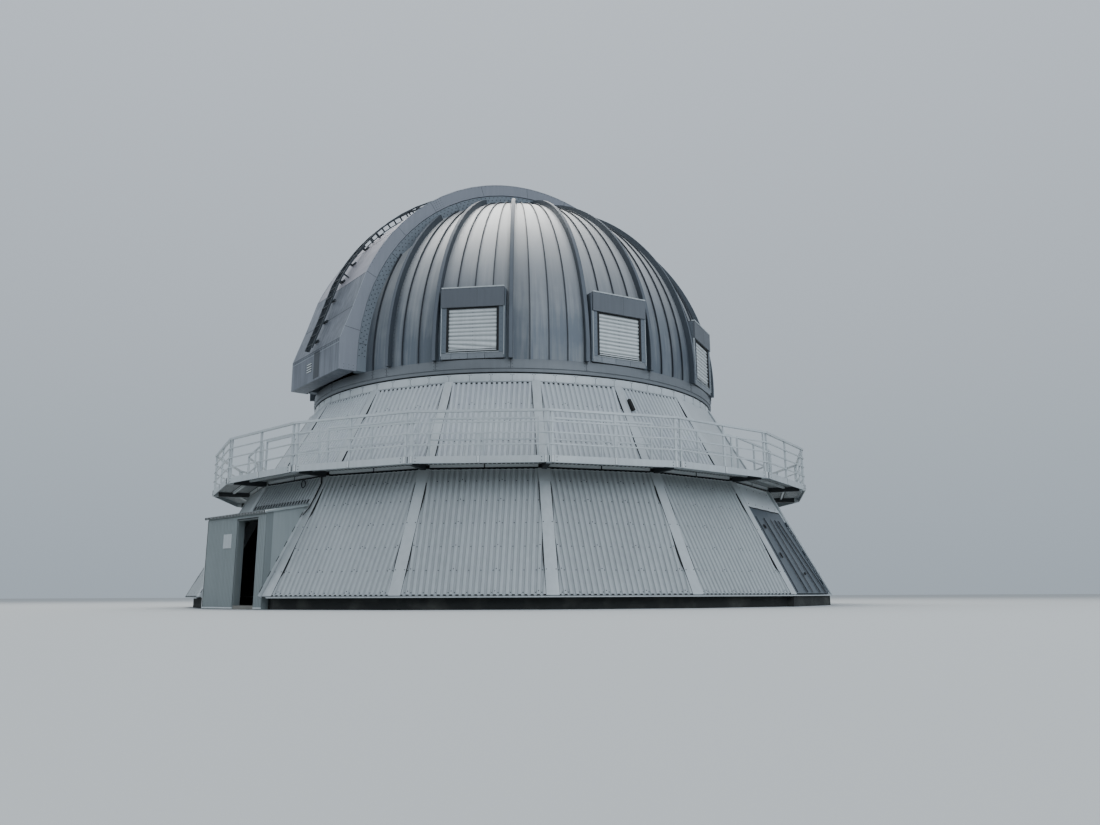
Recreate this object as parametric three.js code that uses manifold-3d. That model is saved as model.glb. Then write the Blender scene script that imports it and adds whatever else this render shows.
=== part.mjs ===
import * as THREE from "three";
import { mergeVertices } from "three/addons/utils/BufferGeometryUtils.js";
import Module from "manifold-3d";

// An observatory: a sloping eighteen-sided base with a railed walkway and a porch, and on it a
// turning dome whose slit is closed by a shutter that travels up and over.
// Millimetres, +Z up. The origin is on the ground, on the dome's upright axis.
// An azimuth is in degrees from -Y, positive towards +X. In a group that faces an azimuth,
// -Y points outwards there and +X to the right of someone who looks at it from outside.

const wasm = await Module();
wasm.setup();

// General
const GAP = 0.3;
const RUNNING_GAP = 6;
// How far two solids that are joined run into each other, and a cutter past what it cuts.
const JOINT_LAP = 10;
const CUT_MARGIN = 600;
const rad = THREE.MathUtils.degToRad;

// Eighteen-sided base
const SIDES = 18;
const FACET_AZ_STEP = 360 / SIDES;
const CORNER_AZ = -15.1;
const COS_HALF = Math.cos(Math.PI / SIDES);
const TAN_HALF = Math.tan(Math.PI / SIDES);
const FLOOR_TOP = 80;
const FOUNDATION_TOP = 266;
const FOUNDATION_OUTER = 8850;
const FOUNDATION_INNER = 8400;
const WALL_BREAK = 2984;
const WALL_TOP = 5330;
const LOWER_WALL = { bottom: 9040, top: 7579, thickness: 250 };
const UPPER_WALL = { bottom: 7420, top: 6080, thickness: 200 };
const STRIP_HALF_WIDTH = 110;
const STRIP_PROUD = 20;

// Walkway
const DECK_INNER = 7450;
const DECK_OUTER = 8575;
const DECK_BOTTOM = 3097;
const DECK_TOP = 3127;
const UPSTAND_OUTER = 7540;
const LEDGER = { outer: 7500, depth: 80, halfLength: 1195, bottom: 3030 };
const JOIST = { outer: 8060, depth: 50, bottom: 3052 };
const BRACKET = { width: 100, inner: 7608, outer: 8560, bottom: 2975 };
const RAIL_OUTER = 8583;
const RAIL_TOP = 4119;
const TOP_RAIL = { depth: 64, height: 50 };
const MID_RAIL = { depth: 28, height: 28 };
const MID_RAIL_DROPS = [255, 489, 734];
const TOE_BOARD = { bottom: 2979, thickness: 18 };
const POST = { width: 50, depth: 42, behindFace: 20 };
const POST_SETBACK = 75;
const INNER_RAIL = { out: 7600, halfLength: 1220, top: 4120, lowerTop: 3640, bar: 40, lowerBar: 30 };

// Porch, on the facet that faces azimuth -45.1
const PORCH_FACET = 16;
const PORCH_FRONT = 8900;
const PORCH_HALF_WIDTH = 1340;
const PORCH_WALL = 160;
const PORCH_EAVE = 2060;
const PORCH_ROOF_SLOPE = 0.21;
const PORCH_ROOF_THICKNESS = 40;
const PORCH_OVERHANG = 60;
const PASSAGE_TOP = 2100;
const DOORWAY_LEFT = 110;
const DOORWAY_RIGHT = 990;
const DOORWAY_TOP = 1950;
const DOOR_THICKNESS = 45;
const DOOR_PIN_PROUD = 12;
const DOOR_PIN_BESIDE = 8;
const DOOR_FLOOR_GAP = 10;
const HINGE_LENGTH = 120;
const HINGE_PLATE = 80;
const HINGE_PLATE_LAP = 2;
const HINGE_LEAF_SETBACK = 10;
const HINGE_KNUCKLE = { from: 20, to: 3 };
const HINGE_SIDES = 12;
const DOOR_HINGE_SHARES = [0.12, 0.5, 0.88];

// Service hatch, on the facet that faces azimuth 54.9
const HATCH_FACET = 3;
const HATCH_TOP = 2350;
const HATCH_JAMB = 63;
const HATCH_THICKNESS = 50;
const HATCH_PIN_PROUD = 15;
const HATCH_PIN_BESIDE = 8;
const HATCH_SILL = 35;
const HATCH_HINGE_SHARES = [0.14, 0.5, 0.86];

// Dome
const DOME_CENTRE = 6207;
const SLIT_AZ = -54.9;
const DOME_RADIUS = 6000;
const SHELL_THICKNESS = 50;
const SEAM_STEP = 4.5;
// The first rib stands off the even spacing of 18, clear of the girder's foot.
const RIB_TURNS = [23.4, 36, 54, 72, 90, 108, 126, 144, 162];
const RIB_WIDTH = 100;
const RIB_RADIUS = 6150;
const RIB_ROOT = 30;
const RIB_TOP_ANGLE = 85;
const RIB_ANGLE_STEP = 8.5;
const CURB_TOP = 5545;
const CURB_OUTER = 5990;
const CURB_INNER = 5700;
const TRACK_TOP = 5565;
const TRACK_INNER = 5840;
const TRACK_OUTER = 5900;
const SKIRT_BOTTOM = 5553;
const SKIRT_STEP = 5670;
const SKIRT_TOP = 5900;
const SKIRT_OUTER = 6008;
const SKIRT_INNER = 5750;
const SKIRT_RUN = 20;
const ARC_STEP = 5;
const GIRDER_OUTER_FACE = 1580;
const GIRDER_WIDTH = 250;
const GIRDER_TOP_RADIUS = 6030;
const GIRDER_DEPTH = 430;
const REAR_BAND_START = 97;
const REAR_BAND_RADIUS = 5980;

// Dome windows
const WINDOW_AZ = [45, 81, 117, 153];
const WINDOW = { halfWidth: 622, sill: 6085, head: 7234, front: 6117, back: 5650 };
const SURROUND = { halfWidth: 788, bottom: 5925, top: 7745 };
const LOUVRE_SETBACK = 60;
const LOUVRE_THICKNESS = 30;

// Shutter
const SHUTTER_HALF_WIDTH = 1600;
const SHUTTER_RADIUS = 6360;
const SHUTTER_END = 103;
const SHUTTER_SKIN = 40;
const SHUTTER_FRONT = [
  [6530, 5883],
  [6530, 6700],
  [6210, 7610],
  [5890, 8610],
];
const SHUTTER_SPLIT = 62;
const FASCIA_THICKNESS = 40;
const FASCIA_INNER = 6045;
const FOOT_SETBACK = 60;
const ROLLER_ANGLES = [10, 55, 100];
const ROLLER_RADIUS = 42;
const ROLLER_WIDTH = 80;
const ROLLER_SIDES = 12;
const LADDER_HALF_WIDTH = 220;
const LADDER_STANDOFF = 200;
const LADDER_BAR = 40;
const LADDER_RUNG = 25;
const LADDER_PITCH = 2.6;
const LADDER_END = 82;
const LADDER_FEET = [25, 40, 55, 70, 80];

const paint = (color, roughness = 0.55, metalness = 0.4) =>
  new THREE.MeshStandardMaterial({ color, roughness, metalness });
const concrete = () => paint(0x6b6a66, 0.95, 0);
const lightCladding = () => paint(0xa9b0b4);
const railPaint = () => paint(0xb7bcbf, 0.5, 0.3);
const porchPaint = () => paint(0x7f8a8a);
const hatchPaint = () => paint(0x4a545c);
const domeMetal = () => paint(0x8b9299, 0.4, 0.7);
const hoodMetal = () => paint(0x4f575f, 0.5, 0.6);
const fasciaMetal = () => paint(0x7b808a, 0.45, 0.6);
const ladderMetal = () => paint(0xb9bdc0, 0.4, 0.7);

// A closed three.js geometry as a solid, turned the right way round.
function solid(geometry) {
  const bare = geometry.index ? geometry : geometry.clone();
  bare.deleteAttribute("normal");
  bare.deleteAttribute("uv");
  const merged = mergeVertices(bare, 1e-3);
  const vertProperties = new Float32Array(merged.attributes.position.array);
  const triVerts = new Uint32Array(merged.index.array);
  const made = new wasm.Manifold(new wasm.Mesh({ numProp: 3, vertProperties, triVerts }));
  if (made.volume() > 0) return made;
  return new wasm.Manifold(
    new wasm.Mesh({ numProp: 3, vertProperties, triVerts: triVerts.reverse() }),
  );
}

// A named mesh of one solid with its own material.
function piece(name, body, material) {
  const made = body.getMesh();
  const geometry = new THREE.BufferGeometry();
  geometry.setAttribute("position", new THREE.BufferAttribute(made.vertProperties, 3));
  geometry.setIndex(new THREE.BufferAttribute(made.triVerts, 1));
  geometry.computeVertexNormals();
  const mesh = new THREE.Mesh(geometry, material);
  mesh.name = name;
  return mesh;
}

const joined = (bodies) => bodies.reduce((all, body) => all.add(body));

// A closed solid between a low and a high outline that have the same number of points.
function loft(low, high) {
  const flat = low.map(([x, y]) => new THREE.Vector2(x, y));
  const count = low.length;
  const index = [];
  for (const [a, b, c] of THREE.ShapeUtils.triangulateShape(flat, [])) {
    index.push(a, c, b, a + count, b + count, c + count);
  }
  for (let i = 0; i < count; i += 1) {
    const j = (i + 1) % count;
    if (THREE.ShapeUtils.isClockWise(flat)) {
      index.push(i, j + count, j, i, i + count, j + count);
    } else {
      index.push(i, j, j + count, i, j + count, i + count);
    }
  }
  const geometry = new THREE.BufferGeometry();
  geometry.setAttribute("position", new THREE.Float32BufferAttribute([...low, ...high].flat(), 3));
  geometry.setIndex(index);
  return solid(geometry);
}

// A block between two opposite corners.
function block([x0, y0, z0], [x1, y1, z1]) {
  const geometry = new THREE.BoxGeometry(x1 - x0, y1 - y0, z1 - z0);
  return solid(geometry.translate((x0 + x1) / 2, (y0 + y1) / 2, (z0 + z1) / 2));
}

// An outline of [reach, height] points, where reach runs outwards along -Y, as a solid between
// two places across.
function acrossExtrusion(outline, fromX, toX) {
  const shape = new THREE.Shape(outline.map(([reach, height]) => new THREE.Vector2(reach, height)));
  const geometry = new THREE.ExtrudeGeometry(shape, { depth: toX - fromX, bevelEnabled: false });
  const turn = new THREE.Matrix4().makeBasis(
    new THREE.Vector3(0, -1, 0),
    new THREE.Vector3(0, 0, 1),
    new THREE.Vector3(-1, 0, 0),
  );
  return solid(geometry.applyMatrix4(turn).translate(toX, 0, 0));
}

// Points on an arc, in degrees, with both ends and every whole step between them.
function arc(radius, from, to, step = ARC_STEP) {
  const way = Math.sign(to - from);
  const angles = [from];
  const whole = way > 0 ? Math.floor(from / step) + 1 : Math.ceil(from / step) - 1;
  for (let k = whole; way * k * step < way * to - 1e-6; k += way) {
    angles.push(k * step);
  }
  angles.push(to);
  return angles.map((a) => [radius * Math.cos(rad(a)), radius * Math.sin(rad(a))]);
}

// A solid of revolution about +Z from a profile of [radius, height] points.
function turned(profile, segments, startAz = 0) {
  const points = profile.map(([r, z]) => new THREE.Vector2(r, z));
  const geometry = new THREE.LatheGeometry(points, segments, rad(startAz), 2 * Math.PI);
  return solid(geometry.rotateX(Math.PI / 2));
}

// A closed profile as a ring.
const ring = (profile, segments, startAz) => turned([...profile, profile[0]], segments, startAz);

// Eighteen-sided base

const facetAz = (facet) => CORNER_AZ + FACET_AZ_STEP / 2 + facet * FACET_AZ_STEP;
const lowerWallRadius = (z) =>
  THREE.MathUtils.mapLinear(
    z,
    FOUNDATION_TOP,
    WALL_BREAK,
    LOWER_WALL.bottom,
    LOWER_WALL.top,
  );
const lowerWallFace = (z) => lowerWallRadius(z) * COS_HALF;

// A point that lies `right` of a facet's middle and `out` from the axis.
function facetPoint(facet, right, out, z) {
  const a = rad(facetAz(facet));
  return [
    out * Math.sin(a) + right * Math.cos(a),
    -out * Math.cos(a) + right * Math.sin(a),
    z,
  ];
}

// The outline of neighbouring facets of a wall at one height, with a raised half strip at each
// side of every facet.
function wallOutline(first, count, radius, thickness, z) {
  const face = radius * COS_HALF;
  const proud = face + STRIP_PROUD;
  const corner = proud * TAN_HALF;
  const strip = corner - STRIP_HALF_WIDTH;
  const innerFace = face - thickness;
  const innerCorner = innerFace * TAN_HALF;
  const last = first + count - 1;
  const outer = [facetPoint(first, -corner + GAP, proud, z)];
  const inner = [facetPoint(first, -innerCorner + GAP, innerFace, z)];
  for (let facet = first; facet <= last; facet += 1) {
    const cut = facet === last ? GAP : 0;
    outer.push(
      facetPoint(facet, -strip, proud, z),
      facetPoint(facet, -strip, face, z),
      facetPoint(facet, strip, face, z),
      facetPoint(facet, strip, proud, z),
      facetPoint(facet, corner - cut, proud, z),
    );
    inner.push(facetPoint(facet, innerCorner - cut, innerFace, z));
  }
  return [...outer, ...inner.reverse()];
}

// Neighbouring facets of a sloping wall.
function wall(first, count, { bottom, top, thickness }, low, high) {
  return loft(
    wallOutline(first, count, bottom, thickness, low),
    wallOutline(first, count, top, thickness, high),
  );
}

// The outline of neighbouring bays of a flat ring, by its corner radii.
function bayOutline(first, count, inner, outer, z) {
  const line = (radius) => {
    const out = radius * COS_HALF;
    const half = out * TAN_HALF;
    const points = [facetPoint(first, -half + GAP, out, z)];
    for (let facet = first; facet < first + count; facet += 1) {
      const cut = facet === first + count - 1 ? GAP : 0;
      points.push(facetPoint(facet, half - cut, out, z));
    }
    return points;
  };
  return [...line(outer), ...line(inner).reverse()];
}

const bays = (first, count, inner, outer, low, high) =>
  loft(bayOutline(first, count, inner, outer, low), bayOutline(first, count, inner, outer, high));

// A block that is placed on a facet: right, out and up.
function facetBlock(facet, [right0, out0, z0], [right1, out1, z1]) {
  const outline = (z) => [
    facetPoint(facet, right0, out0, z),
    facetPoint(facet, right0, out1, z),
    facetPoint(facet, right1, out1, z),
    facetPoint(facet, right1, out0, z),
  ];
  return loft(outline(z0), outline(z1));
}

const building = new THREE.Group();

const porchInside = PORCH_HALF_WIDTH - PORCH_WALL;
const porchBack = PORCH_FRONT - PORCH_WALL;

// Floor slab, which runs out through the porch to the doorstep.
const slabProfile = [
  [0, 0],
  [FOUNDATION_INNER - GAP, 0],
  [FOUNDATION_INNER - GAP, FLOOR_TOP],
  [0, FLOOR_TOP],
];
const porchFloor = facetBlock(
  PORCH_FACET,
  [-porchInside + GAP, FOUNDATION_INNER * COS_HALF - CUT_MARGIN, 0],
  [porchInside - GAP, porchBack - GAP, FLOOR_TOP],
);
const doorstep = facetBlock(
  PORCH_FACET,
  [DOORWAY_LEFT + GAP, porchBack - JOINT_LAP, 0],
  [DOORWAY_RIGHT - GAP, PORCH_FRONT, FLOOR_TOP],
);
building.add(
  piece("floor_slab", joined([turned(slabProfile, SIDES, CORNER_AZ), porchFloor, doorstep]), concrete()),
);

// Foundation ring, left open under the porch.
const foundationProfile = [
  [FOUNDATION_INNER, 0],
  [FOUNDATION_OUTER, 0],
  [FOUNDATION_OUTER, FOUNDATION_TOP - GAP],
  [FOUNDATION_INNER, FOUNDATION_TOP - GAP],
];
const porchGap = facetBlock(
  PORCH_FACET,
  [-PORCH_HALF_WIDTH - GAP, FOUNDATION_INNER * COS_HALF - CUT_MARGIN, -CUT_MARGIN],
  [PORCH_HALF_WIDTH + GAP, FOUNDATION_OUTER + CUT_MARGIN, FOUNDATION_TOP + CUT_MARGIN],
);
building.add(
  piece("foundation_ring", ring(foundationProfile, SIDES, CORNER_AZ).subtract(porchGap), concrete()),
);

// Lower wall: whole facets, then the bays that the porch and the service hatch open.
const lowerWall = (first, count) =>
  wall(first, count, LOWER_WALL, FOUNDATION_TOP, WALL_BREAK - GAP);
const LOWER_WALL_RUNS = {
  lower_wall_front: [-1, 4],
  lower_wall_right: [4, 4],
  lower_wall_back: [8, 4],
  lower_wall_left: [12, 4],
};
for (const [name, [first, count]] of Object.entries(LOWER_WALL_RUNS)) {
  building.add(piece(name, lowerWall(first, count), lightCladding()));
}
const passage = facetBlock(
  PORCH_FACET,
  [-porchInside, 0, 0],
  [porchInside, LOWER_WALL.bottom + CUT_MARGIN, PASSAGE_TOP],
);
const porchFootprint = facetBlock(
  PORCH_FACET,
  [-PORCH_HALF_WIDTH - GAP, porchBack - GAP, 0],
  [PORCH_HALF_WIDTH + GAP, LOWER_WALL.bottom + CUT_MARGIN, PORCH_EAVE],
);
building.add(
  piece(
    "lower_wall_over_porch",
    lowerWall(PORCH_FACET, 1).subtract(passage).subtract(porchFootprint),
    lightCladding(),
  ),
);

// Upper wall, in three runs of six facets.
const RUNS = ["front", "right", "left"];
const RUN_FACETS = SIDES / RUNS.length;
const RUN_START = -3;
RUNS.forEach((side, i) => {
  const first = RUN_START + i * RUN_FACETS;
  const body = wall(first, RUN_FACETS, UPPER_WALL, WALL_BREAK, WALL_TOP);
  building.add(piece(`upper_wall_${side}`, body, lightCladding()));
});

// Fixed ring on the wall's top, with the track that the dome turns on.
const curbProfile = [
  [CURB_INNER, WALL_TOP + GAP],
  [CURB_OUTER, WALL_TOP + GAP],
  [CURB_OUTER, CURB_TOP],
  [TRACK_OUTER, CURB_TOP],
  [TRACK_OUTER, TRACK_TOP],
  [TRACK_INNER, TRACK_TOP],
  [TRACK_INNER, CURB_TOP],
  [CURB_INNER, CURB_TOP],
];
const RING_SEGMENTS = 180 / SEAM_STEP;
building.add(piece("dome_curb_and_track", ring(curbProfile, RING_SEGMENTS, 0), lightCladding()));

// Walkway: a deck with a toe board round its edge and a joist under its middle, on a bracket at
// each corner and an upstand on the lower wall's top. A run ends in half a bracket. Each bay has a
// ledger against the wall and an inner handrail.
function deckRun(first) {
  const end = first + RUN_FACETS;
  const parts = [
    bays(first, RUN_FACETS, DECK_INNER, DECK_OUTER, DECK_BOTTOM, DECK_TOP),
    bays(first, RUN_FACETS, DECK_INNER, UPSTAND_OUTER, WALL_BREAK, DECK_BOTTOM + JOINT_LAP),
    bays(
      first,
      RUN_FACETS,
      JOIST.outer - JOIST.depth,
      JOIST.outer,
      JOIST.bottom,
      DECK_BOTTOM + JOINT_LAP,
    ),
    bays(
      first,
      RUN_FACETS,
      RAIL_OUTER - TOE_BOARD.thickness,
      RAIL_OUTER,
      TOE_BOARD.bottom,
      DECK_TOP,
    ),
  ];
  for (let corner = first; corner <= end; corner += 1) {
    const from = corner === first ? GAP : -BRACKET.width / 2;
    const to = corner === end ? -GAP : BRACKET.width / 2;
    parts.push(
      facetBlock(
        corner - 0.5,
        [from, BRACKET.inner, BRACKET.bottom],
        [to, BRACKET.outer, DECK_BOTTOM + JOINT_LAP],
      ),
    );
  }
  for (let facet = first; facet < end; facet += 1) {
    parts.push(
      facetBlock(
        facet,
        [-LEDGER.halfLength, LEDGER.outer - LEDGER.depth, LEDGER.bottom],
        [LEDGER.halfLength, LEDGER.outer, DECK_BOTTOM + JOINT_LAP],
      ),
      innerRail(facet),
    );
  }
  return joined(parts);
}

// A bay's inner handrail: a top and a lower bar on three posts.
function innerRail(facet) {
  const { out, halfLength, top, lowerTop, bar, lowerBar } = INNER_RAIL;
  const level = (height, size) =>
    facetBlock(
      facet,
      [-halfLength, out - size / 2, height - size],
      [halfLength, out + size / 2, height],
    );
  const posts = [-halfLength, -bar / 2, halfLength - bar].map((right) =>
    facetBlock(
      facet,
      [right, out - bar / 2, DECK_TOP - JOINT_LAP],
      [right + bar, out + bar / 2, top],
    ),
  );
  return joined([level(top, bar), level(lowerTop, lowerBar), ...posts]);
}

function railingRun(first) {
  const level = (top, { depth, height }) =>
    bays(first, RUN_FACETS, RAIL_OUTER - depth / COS_HALF, RAIL_OUTER, top - height, top);
  const parts = [level(RAIL_TOP, TOP_RAIL)];
  for (const drop of MID_RAIL_DROPS) {
    parts.push(level(RAIL_TOP - drop, MID_RAIL));
  }
  const face = RAIL_OUTER * COS_HALF;
  const end = face * TAN_HALF - POST_SETBACK;
  const out = face - POST.behindFace;
  for (let facet = first; facet < first + RUN_FACETS; facet += 1) {
    for (const right of [-end, 0, end]) {
      parts.push(
        facetBlock(
          facet,
          [right - POST.width / 2, out - POST.depth, DECK_TOP + GAP],
          [right + POST.width / 2, out, RAIL_TOP - TOP_RAIL.height / 2],
        ),
      );
    }
  }
  return joined(parts);
}

RUNS.forEach((side, i) => {
  const first = RUN_START + i * RUN_FACETS;
  building.add(piece(`walkway_deck_${side}`, deckRun(first), railPaint()));
  building.add(piece(`walkway_railing_${side}`, railingRun(first), railPaint()));
});

// Porch

const roofUnderside = (out) => PORCH_EAVE + (PORCH_FRONT - out) * PORCH_ROOF_SLOPE;

// A length of the porch's front wall, with a top that slopes with the roof.
function porchWall(right0, right1, low) {
  const outline = (height) => [
    facetPoint(PORCH_FACET, right0, porchBack, height(porchBack)),
    facetPoint(PORCH_FACET, right0, PORCH_FRONT, height(PORCH_FRONT)),
    facetPoint(PORCH_FACET, right1, PORCH_FRONT, height(PORCH_FRONT)),
    facetPoint(PORCH_FACET, right1, porchBack, height(porchBack)),
  ];
  return loft(
    outline(() => low),
    outline((out) => roofUnderside(out) - GAP),
  );
}
building.add(
  piece("porch_wall_left", porchWall(-PORCH_HALF_WIDTH, DOORWAY_LEFT, 0), porchPaint()),
  piece("porch_wall_right", porchWall(DOORWAY_RIGHT, PORCH_HALF_WIDTH, 0), porchPaint()),
  piece(
    "porch_wall_over_door",
    porchWall(DOORWAY_LEFT + GAP, DOORWAY_RIGHT - GAP, DOORWAY_TOP),
    porchPaint(),
  ),
);

const porchFrame = new THREE.Group();
porchFrame.rotation.z = rad(facetAz(PORCH_FACET));
building.add(porchFrame);

// Cheek walls fill the wedge between the front wall and the sloping facet.
const facetClear = (z) => lowerWallFace(z) + STRIP_PROUD + GAP;
const wallSlope = ((LOWER_WALL.bottom - LOWER_WALL.top) * COS_HALF) / (WALL_BREAK - FOUNDATION_TOP);
const cheekFoot = FOUNDATION_TOP + (facetClear(FOUNDATION_TOP) - porchBack + GAP) / wallSlope;
// The height at which a line that rises inwards with the roof meets the facet.
const meetFacet = (heightAtFront) => {
  const outAtZero = facetClear(0);
  return (
    (heightAtFront + (PORCH_FRONT - outAtZero) * PORCH_ROOF_SLOPE) / (1 - wallSlope * PORCH_ROOF_SLOPE)
  );
};
const cheekTop = meetFacet(PORCH_EAVE - GAP);
const cheekOutline = [
  [porchBack - GAP, cheekFoot],
  [porchBack - GAP, roofUnderside(porchBack) - GAP],
  [facetClear(cheekTop), cheekTop],
];
porchFrame.add(
  piece(
    "porch_cheek_left",
    acrossExtrusion(cheekOutline, -PORCH_HALF_WIDTH, -porchInside),
    porchPaint(),
  ),
  piece(
    "porch_cheek_right",
    acrossExtrusion(cheekOutline, porchInside, PORCH_HALF_WIDTH),
    porchPaint(),
  ),
);
const roofLow = meetFacet(PORCH_EAVE);
const roofHigh = meetFacet(PORCH_EAVE + PORCH_ROOF_THICKNESS);
const eaveOut = PORCH_FRONT + PORCH_OVERHANG;
const roofOutline = [
  [eaveOut, roofUnderside(eaveOut)],
  [eaveOut, roofUnderside(eaveOut) + PORCH_ROOF_THICKNESS],
  [facetClear(roofHigh), roofHigh],
  [facetClear(roofLow), roofLow],
];
const roofHalf = PORCH_HALF_WIDTH + PORCH_OVERHANG;
porchFrame.add(piece("porch_roof", acrossExtrusion(roofOutline, -roofHalf, roofHalf), lightCladding()));

// Porch door: its leaf stands open, a quarter turn inwards from the doorway.
const doorPivot = new THREE.Group();
doorPivot.position.set(DOORWAY_RIGHT + DOOR_PIN_BESIDE, -(porchBack - DOOR_PIN_PROUD), 0);
doorPivot.rotation.z = rad(-90);
porchFrame.add(doorPivot);
const doorWidth = DOORWAY_RIGHT - DOORWAY_LEFT - 2 * RUNNING_GAP;
const doorEdge = -DOOR_PIN_BESIDE - RUNNING_GAP;
const doorParts = [
  block(
    [doorEdge - doorWidth, -DOOR_PIN_PROUD - DOOR_THICKNESS, FLOOR_TOP + DOOR_FLOOR_GAP],
    [doorEdge, -DOOR_PIN_PROUD, DOORWAY_TOP - RUNNING_GAP],
  ),
];
// Three hinges: a barrel on the pin and a plate on the leaf's inner face.
const hingeHalf = HINGE_LENGTH / 2 - HINGE_PLATE_LAP;
for (const share of DOOR_HINGE_SHARES) {
  const z = THREE.MathUtils.lerp(FLOOR_TOP, DOORWAY_TOP, share);
  const barrel = new THREE.CylinderGeometry(
    DOOR_PIN_PROUD - GAP,
    DOOR_PIN_PROUD - GAP,
    HINGE_LENGTH,
    HINGE_SIDES,
  );
  doorParts.push(
    solid(barrel.rotateX(Math.PI / 2).translate(0, 0, z)),
    block(
      [doorEdge - HINGE_PLATE, -DOOR_PIN_PROUD - HINGE_PLATE_LAP, z - hingeHalf],
      [doorEdge - HINGE_LEAF_SETBACK, -DOOR_PIN_PROUD / 2 - HINGE_PLATE_LAP / 2, z + hingeHalf],
    ),
    block(
      [doorEdge - HINGE_KNUCKLE.from, -DOOR_PIN_PROUD + 2 * GAP, z - hingeHalf - 1],
      [-HINGE_KNUCKLE.to, -DOOR_PIN_PROUD / 2, z + hingeHalf + 1],
    ),
  );
}
doorPivot.add(piece("porch_door_leaf", joined(doorParts), porchPaint()));

// Service hatch: two leaves in a sloping facet. In the hatch's frame +X is right, +Y up the
// slope and +Z straight out of the facet.
const slopeTilt = Math.atan(wallSlope);
const hatchFrame = new THREE.Group();
hatchFrame.rotation.z = rad(facetAz(HATCH_FACET));
building.add(hatchFrame);
const hatchSlope = new THREE.Group();
hatchSlope.position.set(0, -lowerWallFace(FOUNDATION_TOP), FOUNDATION_TOP);
hatchSlope.rotation.x = Math.PI / 2 - slopeTilt;
hatchFrame.add(hatchSlope);
const upSlope = (z) => (z - FOUNDATION_TOP) / Math.cos(slopeTilt);
const hatchEdge = (u) => {
  const z = FOUNDATION_TOP + u * Math.cos(slopeTilt);
  return (lowerWallFace(z) + STRIP_PROUD) * TAN_HALF - STRIP_HALF_WIDTH - HATCH_JAMB;
};
const hatchLowU = HATCH_SILL;
const hatchHighU = upSlope(HATCH_TOP);

// A flat outline in the hatch's frame as a solid between two depths.
function hatchSolid(outline, from, to) {
  const shape = new THREE.Shape(outline.map(([x, y]) => new THREE.Vector2(x, y)));
  const geometry = new THREE.ExtrudeGeometry(shape, { depth: to - from, bevelEnabled: false });
  return geometry.translate(0, 0, from);
}
const openingOutline = [
  [-hatchEdge(hatchLowU) - RUNNING_GAP, -CUT_MARGIN],
  [hatchEdge(hatchLowU) + RUNNING_GAP, -CUT_MARGIN],
  [hatchEdge(hatchLowU) + RUNNING_GAP, hatchLowU],
  [hatchEdge(hatchHighU) + RUNNING_GAP, hatchHighU + RUNNING_GAP],
  [-hatchEdge(hatchHighU) - RUNNING_GAP, hatchHighU + RUNNING_GAP],
  [-hatchEdge(hatchLowU) - RUNNING_GAP, hatchLowU],
];
hatchSlope.updateWorldMatrix(true, false);
const hatchOpening = solid(
  hatchSolid(openingOutline, -CUT_MARGIN, CUT_MARGIN).applyMatrix4(hatchSlope.matrixWorld),
);
building.add(
  piece("lower_wall_over_hatch", lowerWall(HATCH_FACET, 1).subtract(hatchOpening), lightCladding()),
);
const leafOutline = [
  [-hatchEdge(hatchLowU), hatchLowU],
  [-RUNNING_GAP / 2, hatchLowU],
  [-RUNNING_GAP / 2, hatchHighU],
  [-hatchEdge(hatchHighU), hatchHighU],
];
const leafParts = [solid(hatchSolid(leafOutline, -HATCH_THICKNESS, 0))];
// The hinge line runs up beside the leaf's outer edge, just above the facet.
const hatchPinX = (u) => -hatchEdge(u) - HATCH_PIN_BESIDE;
const hatchPinLean = Math.atan(
  (hatchPinX(hatchHighU) - hatchPinX(hatchLowU)) / (hatchHighU - hatchLowU),
);
for (const share of HATCH_HINGE_SHARES) {
  const u = THREE.MathUtils.lerp(hatchLowU, hatchHighU, share);
  const barrel = new THREE.CylinderGeometry(
    HATCH_PIN_PROUD - GAP,
    HATCH_PIN_PROUD - GAP,
    HINGE_LENGTH,
    HINGE_SIDES,
  );
  leafParts.push(
    solid(barrel.rotateZ(-hatchPinLean).translate(hatchPinX(u), u, HATCH_PIN_PROUD)),
    block(
      [
        -hatchEdge(u) + (HINGE_LENGTH / 4) * Math.tan(hatchPinLean),
        u - HINGE_LENGTH / 4,
        -HINGE_PLATE_LAP,
      ],
      [-hatchEdge(u) + HINGE_PLATE, u + HINGE_LENGTH / 4, HATCH_PIN_PROUD / 2 + HINGE_PLATE_LAP / 2],
    ),
  );
}
const leaf = joined(leafParts);
const leftLeaf = piece("hatch_leaf_left", leaf, hatchPaint());
const rightLeaf = piece("hatch_leaf_right", leaf, hatchPaint());
rightLeaf.scale.x = -1;
hatchSlope.add(leftLeaf, rightLeaf);

// Dome: its group has its origin at the sphere's centre and faces the slit.

const dome = new THREE.Group();
dome.position.z = DOME_CENTRE;
dome.rotation.z = rad(SLIT_AZ);
const FAR = 2 * DOME_RADIUS;
const domeZ = (z) => z - DOME_CENTRE;

// Skirt, whose inner part runs on the track.
const skirtProfile = [
  [SKIRT_INNER, domeZ(TRACK_TOP + GAP)],
  [TRACK_OUTER + SKIRT_RUN, domeZ(TRACK_TOP + GAP)],
  [TRACK_OUTER + SKIRT_RUN, domeZ(SKIRT_BOTTOM)],
  [DOME_RADIUS, domeZ(SKIRT_BOTTOM)],
  [DOME_RADIUS, domeZ(SKIRT_STEP)],
  [SKIRT_OUTER, domeZ(SKIRT_STEP)],
  [SKIRT_OUTER, domeZ(SKIRT_TOP)],
  [SKIRT_INNER, domeZ(SKIRT_TOP)],
];
dome.add(piece("dome_skirt", ring(skirtProfile, RING_SEGMENTS, 0), fasciaMetal()));

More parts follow.
